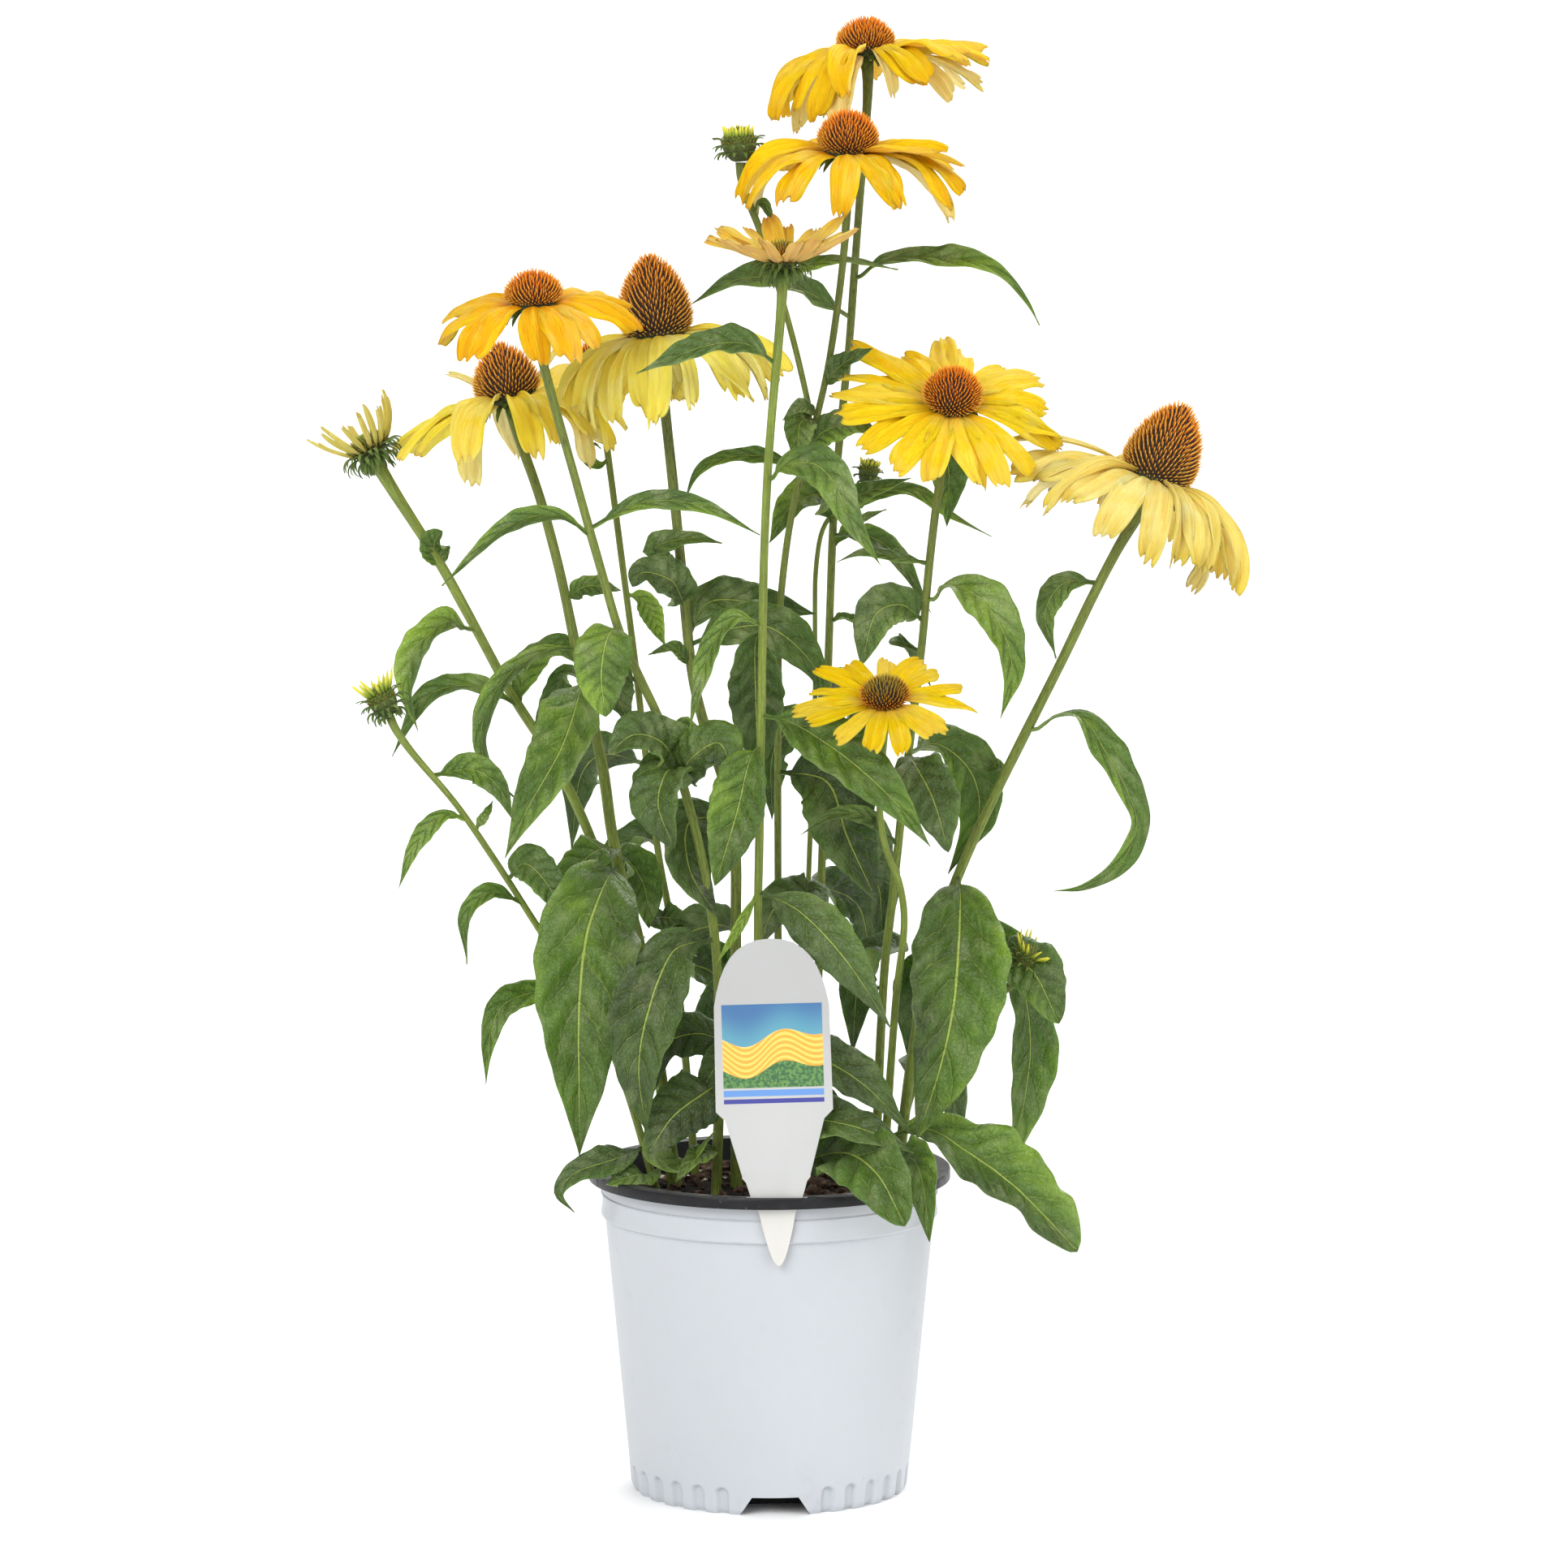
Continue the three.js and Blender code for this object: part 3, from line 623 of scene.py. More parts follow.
def spun(name, profile, steps=POT_STEPS):
    """A body of revolution from radii and heights, given from the outside bottom round to the inside."""
    mesh = bpy.data.meshes.new(name)
    count = len(profile)
    edges = [(i, i + 1) for i in range(count - 1)]
    if profile[0][0] > 0 and profile[-1][0] > 0:
        edges.append((count - 1, 0))
    mesh.from_pydata([(radius, 0, height) for radius, height in profile], edges, [])
    piece = add_object(name, mesh)
    with editing(piece):
        bpy.ops.mesh.spin(steps=steps, angle=math.tau, center=(0, 0, 0), axis=(0, 0, 1))
        bpy.ops.mesh.select_all(action="SELECT")
        bpy.ops.mesh.remove_doubles(threshold=1e-6)
        bpy.ops.mesh.normals_make_consistent(inside=False)
    return piece


def fillet(corner, before, after, radius, points=3):
    """A profile's corner, rounded off."""
    corner, before, after = (np.array(p, float) for p in (corner, before, after))
    start = corner + unit(before - corner) * radius
    end = corner + unit(after - corner) * radius
    shares = np.linspace(0, 1, points)[:, None]
    curve = (1 - shares) ** 2 * start + 2 * shares * (1 - shares) * corner + shares**2 * end
    return [tuple(p) for p in curve]


def rounded(profile, radii):
    """A profile with some of its corners rounded. The radii go by the corners' places in the list."""
    result = []
    for i, point in enumerate(profile):
        if radii.get(i):
            result += fillet(point, profile[i - 1], profile[(i + 1) % len(profile)], radii[i])
        else:
            result.append(point)
    return result


# The drain channels under the floor: their headings, their height, their width at the ground and at the
# top, how near the pot's middle they end, and the width and length of the hole in each
DRAIN_HEADINGS = (-87.5, 32.5, 152.5)
DRAIN_HEIGHT = 8.5 * MM
DRAIN_FOOT = 33 * MM
DRAIN_TOP = 21 * MM
DRAIN_END = 38 * MM
DRAIN_HOLE = (5 * MM, 10 * MM)
DRAIN_REACH = 0.7 * MM  # how far past a channel's skin a face still counts as its own

FLUTES_BETWEEN = 8  # from one drain notch to the next
FLUTE_FIRST = 22  # degrees from the middle of a drain notch

# The collar's flared lower edge: how far it stands out, in mm, and its shape, as heights above its foot and
# shares of how far it stands out
LIP = 0.9
LIP_SHAPE = ((0, 0.6), (0.7, 1), (3.5, 0.35), (6.5, 0))

# The fine raised line on the collar, in mm: how far its middle lies under the pot's top, and its shape, as
# depths below its middle and how far it stands out there
SEAM_BELOW = 11.2
SEAM_SHAPE = ((0.6, 0), (0, 0.6), (-0.6, 0))


def foot_rows(pot, radius, start):
    """Rows of points up the wall from its foot to just above the flutes."""
    step = pot.height - pot.collar_height
    lean = (pot.wall_radius - pot.base_radius) / (step - 4 * MM)
    heights = np.linspace(start, pot.flute_height + 1.5 * MM, FOOT_ROWS)
    return [(radius + lean * (z - 2 * MM), z) for z in heights]


def pot_outline(pot):
    """The pot's outside from the middle of its floor to under the rim."""
    step = pot.height - pot.collar_height
    lean = (pot.collar_radius - pot.wall_radius - MM) / pot.collar_height
    foot = pot.collar_height / MM

    def on_collar(below, proud):
        return (pot.collar_radius - lean * below * MM + proud * MM, pot.height - below * MM)

    return [
        (0, 0),
        (pot.base_radius - 1.5 * MM, 0),
        (pot.base_radius, 2 * MM),
        *foot_rows(pot, pot.base_radius, 4 * MM),
        (pot.wall_radius, step - 0.8 * MM),
        *(on_collar(foot - above, share * LIP) for above, share in LIP_SHAPE),
        *(on_collar(SEAM_BELOW + under, proud) for under, proud in SEAM_SHAPE),
        (pot.collar_radius, pot.height - pot.wall),
    ]


def pot_body(pot):
    """The moulded shell without its drain channels, flutes and slot."""
    top = pot.height
    edge = top - pot.rim_edge
    step = top - pot.collar_height
    rim = [
        (pot.rim_radius - pot.wall, top - pot.wall),
        (pot.rim_radius - pot.wall, edge),
        (pot.rim_radius, edge),
        (pot.rim_radius, top),
        (pot.collar_radius - pot.wall, top),
    ]
    inside = [
        (pot.wall_radius + MM - pot.wall, step),
        (pot.wall_radius - pot.wall, step - 2 * MM),
        *reversed(foot_rows(pot, pot.base_radius - pot.wall, 4 * MM)),
        (pot.base_radius - pot.wall, 3.4 * MM),
        (pot.base_radius - 3.4 * MM, pot.wall),
        (0, pot.wall),
    ]
    outline = pot_outline(pot)
    first = len(outline)
    corners = {2: 1.2, first + 1: 0.5, first + 2: 0.5, first + 3: 1, first + 4: 0.8}
    radii = {place: radius * MM for place, radius in corners.items()}
    return spun("pot_shell", rounded(outline + rim + inside, radii))


def turned_block(outline, start, end, heading):
    """A prism whose outline of across and up is drawn out from one radius to another at a heading."""
    count = len(outline)
    points = [(start, across, up) for across, up in outline] + [(end, across, up) for across, up in outline]
    faces = [tuple(reversed(range(count))), tuple(range(count, 2 * count))]
    faces += [(i, (i + 1) % count, count + (i + 1) % count, count + i) for i in range(count)]
    mesh = bpy.data.meshes.new("block")
    mesh.from_pydata(points, [], faces)
    mesh.transform(Matrix.Rotation(math.radians(heading), 4, "Z"))
    return add_object("block", mesh)


def drain_block(heading, grow):
    outline = [
        (-DRAIN_FOOT / 2 - grow, -MM),
        (DRAIN_FOOT / 2 + grow, -MM),
        (DRAIN_TOP / 2 + grow, DRAIN_HEIGHT + grow),
        (-DRAIN_TOP / 2 - grow, DRAIN_HEIGHT + grow),
    ]
    return turned_block(outline, DRAIN_END - grow, POT_HIGH.x, heading)


def drain_hole(heading):
    across, along = DRAIN_HOLE
    half, top = across / 2, 3 * DRAIN_HEIGHT
    middle = (DRAIN_END + settings().pot.base_radius) / 2
    outline = [(-half, -MM), (half, -MM), (half, top), (-half, top)]
    return turned_block(outline, middle - along / 2, middle + along / 2, heading)


def press_flutes(pot, shell):
    """Pushes the foot of the wall in where the arched grooves are."""
    spacing = (120 - 2 * FLUTE_FIRST) / (FLUTES_BETWEEN - 1)
    turns = [notch + FLUTE_FIRST + spacing * i for notch in DRAIN_HEADINGS for i in range(FLUTES_BETWEEN)]
    points = points_of(shell)
    x, y, z = points.T
    radius = np.hypot(x, y)
    heading = np.degrees(np.arctan2(y, x))
    away = np.min([np.abs((heading - turn + 180) % 360 - 180) for turn in turns], axis=0)
    across = np.radians(away) * pot.base_radius
    half = pot.flute_width / 2
    arch = np.hypot(across, np.maximum(z - (pot.flute_height - half), 0))
    on_wall = radius > pot.base_radius - 4 * MM
    pressed = pot.flute_depth * smooth_step((half - arch) / (0.25 * half)) * on_wall
    inwards = (1 - pressed / radius.clip(MM))[:, None] ** [[1, 1, 0]]
    shell.data.vertices.foreach_set("co", (points * inwards).ravel())


def cut(piece, cutters, operation="DIFFERENCE"):
    cutter = join_pieces(cutters) if len(cutters) > 1 else cutters[0]
    apply_modifier(piece, "BOOLEAN", object=cutter, operation=operation, solver="MANIFOLD")
    bpy.data.objects.remove(cutter)


def in_drain(point):
    """Whether a point is on the skin of one of the drain channels."""
    for heading in DRAIN_HEADINGS:
        x, y, z = Matrix.Rotation(-math.radians(heading), 3, "Z") @ point
        half = DRAIN_FOOT / 2 + (DRAIN_TOP - DRAIN_FOOT) / 2 * z / DRAIN_HEIGHT
        low_enough = z < DRAIN_HEIGHT + DRAIN_REACH
        if x > DRAIN_END - 0.3 * MM and abs(y) < half + DRAIN_REACH and low_enough:
            return True
    return False


def is_black(pot, polygon):
    """Whether a face of the pot belongs to its dark rim or inside, or to the skin of a drain channel, which
    gets the dark plastic as painted shade.
    """
    x, y, z = polygon.center
    radius = math.hypot(x, y)
    if radius > pot.collar_radius + 0.6 * MM or z > pot.height - 0.5 * MM:
        return True
    # Painted shade: the drain channels' skin is the pale outside plastic, painted dark here for the shade
    # inside them.
    if in_drain(polygon.center):
        return radius < pot.base_radius - 2.2 * MM
    if z < 0.7 * MM:
        return False
    outwards = (polygon.normal.x * x + polygon.normal.y * y) / radius
    step = pot.height - pot.collar_height
    wall = np.interp(z, [0, step, pot.height], [pot.base_radius, pot.wall_radius + MM, pot.collar_radius])
    return radius < wall - 1.3 * MM or (outwards < 0.1 and radius < wall - 0.7 * MM)


def pot_wall_finish(pot):
    finish = Finish("pot_wall", Specular_IOR_Level=0.32, Subsurface_Weight=0.06, Subsurface_Scale=0.004)
    where = finish.place()
    x, y, z = finish.parts(where)
    mottle = finish.clouds(where, 26)
    dust = finish.step(finish.clouds(where, 90, 5), 0.56, 0.74)
    drops = finish.step(finish.cells(where, 240, "F1"), 0.16, 0.08)
    splashes = drops * finish.step(finish.clouds(where, 30), 0.6, 0.72)
    # Greyer and browner towards the foot, in patches.
    low = finish.step(z, 0.03, 0.002)
    base = finish.mix(mottle * 0.35, pot.outside, linear(188, 192, 196))
    base = finish.mix(dust * (0.05 + low * 0.14), base, linear(150, 150, 148))
    base = finish.mix(splashes * (0.1 + low * 0.35), base, linear(110, 96, 80))
    finish.surface(Base_Color=base, Roughness=0.3 + mottle * 0.16 + dust * 0.16)
    ripple = finish.clouds(finish.join(x, y, z * 0.35), 60, 2)
    grain = finish.clouds(where, 1400, 2)
    finish.surface(Normal=finish.bump(ripple * 0.8 + grain * 0.05, 0.0007))
    return finish


# The dark plastic of the rim and the inside, also laid on the drain channels' skin as painted shade.
def rim_and_drain_shade_finish(pot):
    finish = Finish("pot_rim_and_drain_shade", Specular_IOR_Level=0.25)
    where = finish.place()
    dust = finish.step(finish.clouds(where, 120, 5), 0.5, 0.75)
    nicks = finish.step(finish.cells(where, 300, "F1"), 0.22, 0.1)
    scuffs = nicks * finish.step(finish.clouds(where, 45), 0.52, 0.66)
    base = finish.mix(dust * 0.4, pot.inside, linear(48, 46, 44))
    base = finish.mix(scuffs * 0.7, base, linear(92, 74, 58))
    finish.surface(Base_Color=base, Roughness=0.36 + dust * 0.26)
    finish.surface(Normal=finish.bump(finish.clouds(where, 900, 2) * 0.3 + scuffs * 0.6, 0.0003))
    return finish


class CONEFLOWER_OT_pot(Operator):
    """Mould the nursery pot with its rim, fluted foot, drain channels and tag slot"""

    bl_idname = "coneflower.pot"
    bl_label = "Pot"

    def execute(self, context):
        pot = settings().pot
        shell = pot_body(pot)
        filled = spun("filled", [*pot_outline(pot), (0, pot.height - pot.wall)])
        for heading in DRAIN_HEADINGS:
            block = drain_block(heading, pot.wall)
            apply_modifier(block, "BOOLEAN", object=filled, operation="INTERSECT", solver="MANIFOLD")
            cut(shell, [block], "UNION")
        bpy.data.objects.remove(filled)
        cut(shell, [drain_block(heading, 0) for heading in DRAIN_HEADINGS])
        cut(shell, [drain_hole(heading) for heading in DRAIN_HEADINGS])
        cut(shell, [tag_slot()])
        shell.data.materials.clear()
        finish_piece(shell, [pot_wall_finish(pot), rim_and_drain_shade_finish(pot)], "pot_plastic", "pot", angle=28)
        for polygon in shell.data.polygons:
            polygon.material_index = int(is_black(pot, polygon))
        press_flutes(pot, shell)
        return {"FINISHED"}


# Tag

TAG_LOW, TAG_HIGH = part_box("plant_tag")
TAG_Y = (TAG_LOW.y + TAG_HIGH.y) / 2
TAG_X = 3.5 * MM  # of the tag's middle in the rim
TAG_LEAN = math.radians(1.6)
TAG_SLOT = (27 * MM, 2.4 * MM, 6 * MM)  # its width, its depth and twice its height
TAG_BEVEL = 0.22 * MM
SPIKE_WIDTH = 0.86  # of the tag under the rim, as a share of the frame's
TAG_PANEL = (-22.3, 22.3, 49.4, 87)  # left, right, bottom and top above the rim, in mm
TAG_BARS = ((-22.3, 22.3, 45.6, 48.6), (-22.3, 22.3, 42.4, 44.6))


def tag_slot():
    """The slot in the rim, wider and deeper than the tag's plate."""
    slot = primitive("cube", size=1, location=(TAG_X, TAG_Y, POT_HIGH.z))
    slot.scale = TAG_SLOT
    bpy.ops.object.transform_apply(location=True, scale=True)
    return slot


def tag_finish():
    finish = Finish("tag_plastic", Specular_IOR_Level=0.45, Subsurface_Weight=0.1, Subsurface_Scale=0.002)
    where = finish.place()
    x, y, z = finish.parts(where)
    sine, cosine = math.sin(TAG_LEAN), math.cos(TAG_LEAN)
    per_metre = 1000
    across = ((x - TAG_X) * cosine + (z - POT_HIGH.z) * sine) * per_metre
    up = ((z - POT_HIGH.z) * cosine - (x - TAG_X) * sine) * per_metre
    front = finish.step(y, TAG_Y, TAG_Y - 0.2 * MM)

    def inside(box):
        left, right, bottom, top = box
        soft = 0.15
        sides = finish.step(across, left, left + soft) * finish.step(across, right, right - soft)
        return sides * finish.step(up, bottom, bottom + soft) * finish.step(up, top, top - soft) * front

    swell = finish.maths("SINE", across * 0.21 + 0.8) * 2.2 + finish.maths("SINE", across * 0.09) * 2.6
    level = up - swell
    furrows = finish.step(finish.maths("SINE", (up - swell * 1.6) * 2.4 + across * 0.16), -0.3, 0.5)
    field = finish.mix(furrows, linear(236, 160, 58), linear(250, 196, 96))
    blades = finish.step(finish.clouds(where, 700, 3), 0.42, 0.6)
    meadow = finish.mix(blades, linear(52, 96, 60), linear(96, 138, 74))
    sky = finish.mix(finish.step(level, 70, 88), linear(88, 150, 168), linear(62, 104, 150))
    picture = finish.mix(finish.step(level, 58, 58.6), meadow, field)
    picture = finish.mix(finish.step(level, 72, 72.6), picture, sky)
    stain = finish.step(finish.clouds(where, 55, 4), 0.56, 0.8)
    # Painted shade: the plastic darkens towards the tag's top. It is also lighter on the spike under the rim.
    plastic = finish.mix(finish.step(up, 30, 90), linear(182, 183, 182), linear(168, 169, 168))
    plastic = finish.mix(stain * 0.3, plastic, linear(166, 164, 156))
    spike = finish.step(up, 12, -20)
    plastic = finish.mix(spike * 0.6, plastic, linear(216, 213, 205))
    base = finish.mix(inside(TAG_PANEL), plastic, picture)
    base = finish.mix(inside(TAG_BARS[0]), base, linear(96, 140, 200))
    base = finish.mix(inside(TAG_BARS[1]), base, linear(60, 62, 140))
    finish.surface(Base_Color=base, Roughness=0.34 + stain * 0.2)
    waves = finish.clouds(where, 30, 2) + finish.clouds(where, 900, 2) * 0.04
    finish.surface(Normal=finish.bump(waves, 0.0006))
    return finish


class CONEFLOWER_OT_tag(Operator):
    """Cut the plant tag from sheet, with soft edges and a plain printed panel"""

    bl_idname = "coneflower.tag"
    bl_label = "Plant tag"

    def execute(self, context):
        tag = add_object("tag_label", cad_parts["plant_tag"].data.copy())
        tag.data.materials.clear()
        with editing(tag):
            bpy.ops.mesh.remove_doubles(threshold=MERGE)
            bpy.ops.mesh.dissolve_limited(angle_limit=math.radians(0.5))
        for vertex in tag.data.vertices:
            if vertex.co.z < POT_HIGH.z - 2 * MM:
                middle = TAG_X + (POT_HIGH.z - vertex.co.z) * math.tan(TAG_LEAN)
                vertex.co.x = middle + (vertex.co.x - middle) * SPIKE_WIDTH
        sharp = {"limit_method": "ANGLE", "angle_limit": math.radians(50)}
        apply_modifier(tag, "BEVEL", width=TAG_BEVEL, segments=2, **sharp)
        finish_piece(tag, [tag_finish()], "tag_plastic", "plant_tag", angle=35)
        return {"FINISHED"}


# Potting mix

BED_CUTS = 90  # along and across the surface of the mix
BED_BOTTOM = 14 * MM
BED_NARROWING = 0.84  # the bottom's radius as a share of the surface's


def soil_height(x, y):
    soil = settings().soil
    share = np.hypot(x, y) / soil.radius
    return soil.level + soil.mound * (1 - share**2)


def peat_finish(soil):
    finish = Finish("peat", Specular_IOR_Level=0.2)
    where = finish.place()
    clods = finish.clouds(where, 160, 6, 0.7)
    fibres = finish.step(finish.clouds(where, 900, 4), 0.55, 0.7)
    base = finish.mix(finish.step(clods, 0.3, 0.75), linear(20, 14, 11), soil.peat)
    base = finish.mix(fibres * 0.5, base, linear(96, 70, 50))
    finish.surface(Base_Color=base, Roughness=0.86 + clods * 0.1)
    finish.surface(Normal=finish.bump(clods + fibres * 0.3, 0.003))
    return finish


def bark_finish(soil):
    finish = Finish("bark", Specular_IOR_Level=0.25)
    where = finish.place()
    (tone,) = finish.attributes("tone")
    rings = finish.clouds(where, 420, 5, 0.65)
    base = finish.mix(tone, soil.bark, linear(58, 40, 30))
    base = finish.mix(finish.step(rings, 0.5, 0.7), base, linear(134, 102, 76))
    finish.surface(Base_Color=base, Roughness=0.8 + rings * 0.15, Normal=finish.bump(rings, 0.001))
    return finish


def perlite_finish():
    finish = Finish("perlite", Specular_IOR_Level=0.3)
    where = finish.place()
    pits = finish.clouds(where, 1300, 3)
    base = finish.mix(finish.step(pits, 0.35, 0.6), linear(176, 168, 154), linear(236, 233, 226))
    finish.surface(Base_Color=base, Roughness=0.8 + pits * 0.1, Normal=finish.bump(pits, 0.0006))
    return finish


def scattered(name, template, count, sizes, stretch, sink, seed):
    """Copies of a lump, strewn over the soil at random turns, each a little misshapen."""
    soil = settings().soil
    random = np.random.RandomState(seed)
    shapes = []
    for _ in range(count):
        size = random.uniform(*sizes) * MM
        scale = size * np.array([random.uniform(*stretch), 1, random.uniform(0.45, 0.8)])
        dents = 1 + random.uniform(-0.22, 0.22, (len(template.points), 1))
        roll = Matrix.Rotation(random.uniform(-0.6, 0.6), 3, "X")
        pitch = Matrix.Rotation(random.uniform(-0.5, 0.5), 3, "Y")
        turn = np.array(Matrix.Rotation(random.uniform(0, math.tau), 3, "Z") @ (roll @ pitch))
        reach = (soil.radius - 1.6 * size) * math.sqrt(random.uniform(0, 1))
        heading = random.uniform(0, math.tau)
        x, y = reach * math.cos(heading), reach * math.sin(heading)
        place = np.array([x, y, soil_height(x, y) + size * sink])
        shapes.append(place + (template.points * dents * scale) @ turn.T)
    return copies(name, template, shapes, tone=random.uniform(0, 1, count))


class CONEFLOWER_OT_potting_mix(Operator):
    """Fill the pot with peat, bark chips and perlite"""

    bl_idname = "coneflower.potting_mix"
    bl_label = "Potting mix"

    def execute(self, context):
        soil = settings().soil
        bed = primitive("grid", x_subdivisions=BED_CUTS, y_subdivisions=BED_CUTS, size=2)
        bed.name = bed.data.name = "peat_bed"
        for vertex in bed.data.vertices:
            x, y, _ = vertex.co
            disc_x = x * math.sqrt(1 - y * y / 2) * soil.radius
            disc_y = y * math.sqrt(1 - x * x / 2) * soil.radius
            clod = noise.fractal(Vector((disc_x, disc_y, 0)) * 190, 0.8, 2.1, 4) * 1.3 * MM
            vertex.co = (disc_x, disc_y, soil_height(disc_x, disc_y) + clod)
        with editing(bed):
            bpy.ops.mesh.extrude_region_move(TRANSFORM_OT_translate={"value": (0, 0, 0)})
            shape = bmesh.from_edit_mesh(bed.data)
            for vertex in shape.verts:
                if vertex.select:
                    x, y, _ = vertex.co
                    vertex.co = (x * BED_NARROWING, y * BED_NARROWING, BED_BOTTOM)
            bmesh.update_edit_mesh(bed.data)
            bpy.ops.mesh.select_all(action="SELECT")
            bpy.ops.mesh.normals_make_consistent(inside=False)
        finish_piece(bed, [peat_finish(soil)], "potting_mix", "soil", angle=60)
        crumbs = scattered("peat_crumbs", lump(1), soil.crumbs, (0.8, 2.1), (1, 1.5), 0.1, 11)
        finish_piece(crumbs, [peat_finish(soil)], "potting_mix", angle=40)
        chips = scattered("bark_chips", lump(1), soil.chips, (1.6, 4), (1.4, 2.6), 0.15, 12)
        finish_piece(chips, [bark_finish(soil)], "potting_mix", angle=30)
        grains = scattered("perlite_grains", lump(2), soil.perlite, (0.8, 1.7), (1, 1.3), 0.35, 13)
        finish_piece(grains, [perlite_finish()], "potting_mix", angle=60)
        return {"FINISHED"}


# Stems

# Stems that are thinner than the frame's, as a share
GIRTHS = {"flower_1": 0.86, "flower_2": 0.72, "flower_7": 0.85, "flower_8": 0.85}

STEM_TONES = {  # how dark a stem is, from fresh green at 0 to brownish at 1
    "flower_1": 0.45,
    "flower_2": 0.4,
    "flower_3": 0.12,
    "flower_4": 0.5,
    "flower_5": 0.35,
    "flower_6": 0.3,
    "flower_7": 0.25,
    "flower_8": 0.35,
    "flower_9": 0.3,
    "flower_10": 0.15,
    "flower_11": 0.2,
    "bud_1": 0.4,
    "bud_2": 0.2,
    "bud_3": 0.2,
    "bud_4": 0.2,
}
FLARE = 16 * MM  # how far under its head a stem is thickened
FOOT_FLARE = 40 * MM  # and above the soil
SLENDER = 30 * MM  # how far under its head a thinned stem has its full thickness again
STEM_SINK = 5 * MM  # into the soil


@functools.cache
def stem_of(name):
    return Stem(name)


def stem_finish(plant):
    finish = Finish("stem", Specular_IOR_Level=0.35, Subsurface_Weight=0.08, Subsurface_Scale=0.003)
    where = finish.place()
    along, around, tone, long = finish.attributes("along", "around", "tone", "length")
    risen = along * long
    streaks = finish.clouds(finish.join(around * 9, risen * 30, tone * 20), 1.6, 4)
    streaks = finish.step(streaks, 0.42, 0.62)
    flecks = finish.clouds(finish.join(around * 40, risen * 260, tone * 9), 1, 2)
    flecks = finish.step(flecks, 0.54, 0.62)
    hairs = finish.clouds(finish.join(around * 60, risen * 500, tone), 1, 2)
    patches = finish.clouds(where, 24, 2)
    upper = finish.step(along, 0.3, 1)
    dark = tone * 0.5 + upper * tone * 0.7 + patches * 0.5 - 0.25
    dark = finish.maths("MINIMUM", finish.maths("MAXIMUM", dark, 0), 1)
    base = finish.mix(dark, plant.stem_green, plant.stem_dark)
    base = finish.mix(streaks * 0.4, base, linear(84, 98, 40))
    base = finish.mix(flecks * (0.2 + tone * 0.8), base, linear(56, 36, 30))
    finish.surface(Base_Color=base, Roughness=0.5 + streaks * 0.14)
    finish.surface(Normal=finish.bump(hairs * 0.5 + streaks * 0.6, 0.0004))
    return finish


def stem_points(stem, template, girth, seed):
    """A ribbed, slightly uneven stem that flares under its head and goes a little into the soil."""
    x, y, t = template.points.T
    angle = np.arctan2(y, x)
    inner = np.hypot(x, y)
    route = stem.route
    foot = route.at(np.array([0.0]))[0]
    deeper = Route(np.vstack([foot - [0, 0, STEM_SINK], route.points[::4], route.points[-1:]]))
    centre = deeper.at(t)
    along = deeper.along(t)
    side = unit(np.cross([0.0, 1.0, 0.0], along))
    front = np.cross(along, side)
    from_foot = t * deeper.length
    from_head = (1 - t) * deeper.length
    radius = np.interp(t, np.linspace(0, 1, len(stem.radii)), stem.radii)
    flare = 0.68 + 0.34 * np.exp(-from_head / FLARE) + 0.1 * np.exp(-from_foot / FOOT_FLARE)
    ribs = 1 + 0.035 * np.cos(9 * angle + 3 * np.sin(5 * t)) + 0.02 * np.sin(from_foot / (9 * MM) + seed)
    thinned = girth + (1 - girth) * np.exp(-from_head / SLENDER)
    spread = inner * radius * flare * ribs * thinned
    ring = side * np.cos(angle)[:, None] + front * np.sin(angle)[:, None]
    return centre + ring * spread[:, None], t, np.abs(angle / math.tau), deeper.length


class CONEFLOWER_OT_stems(Operator):
    """Draw the flower and bud stems"""

    bl_idname = "coneflower.stems"
    bl_label = "Stems"

    def execute(self, context):
        template = tube(sides=16, cuts=110)
        finish = stem_finish(settings().plant)
        for seed, (name, tone) in enumerate(STEM_TONES.items()):
            points, along, around, long = stem_points(stem_of(name), template, GIRTHS.get(name, 1), seed)
            placed = {"along": [along], "around": [around], "tone": [tone], "length": [long]}
            piece = copies(name + "_stem_skin", template, [points], **placed)
            finish_piece(piece, [finish], "stem_green", name + "_stem")
        return {"FINISHED"}


# Cones and buds

GOLDEN_ANGLE = math.pi * (3 - math.sqrt(5))
OLD_SPINES = 1.28  # how much stouter and further apart the spines of an old cone are
FULL_CONE = 16 * MM  # the height from which a cone has spines of full size

# The outer shape of a low and of a tall cone, as shares of its radius and of its height
LOW_CONE = (
    (0.86, 0.05),
    (0.97, 0.16),
    (1, 0.32),
    (0.96, 0.46),
    (0.88, 0.58),
    (0.76, 0.71),
    (0.6, 0.83),
    (0.4, 0.92),
)
TALL_CONE = (
    (0.86, 0.03),
    (0.98, 0.12),
    (1, 0.24),
    (0.95, 0.4),
    (0.85, 0.56),
    (0.7, 0.71),
    (0.51, 0.84),
    (0.32, 0.93),
)


def cone_profile(head):
    """The outer shape of a cone, from its widest ring over its top, as radii and heights."""
    r, h = head.radius, head.height
    shape = TALL_CONE if h > 1.6 * r else LOW_CONE
    points = [(a * r, max(b * h, 1.2 * MM)) for a, b in shape]
    return np.array([*points, (0.2 * r, 0.98 * h), (0, h)])


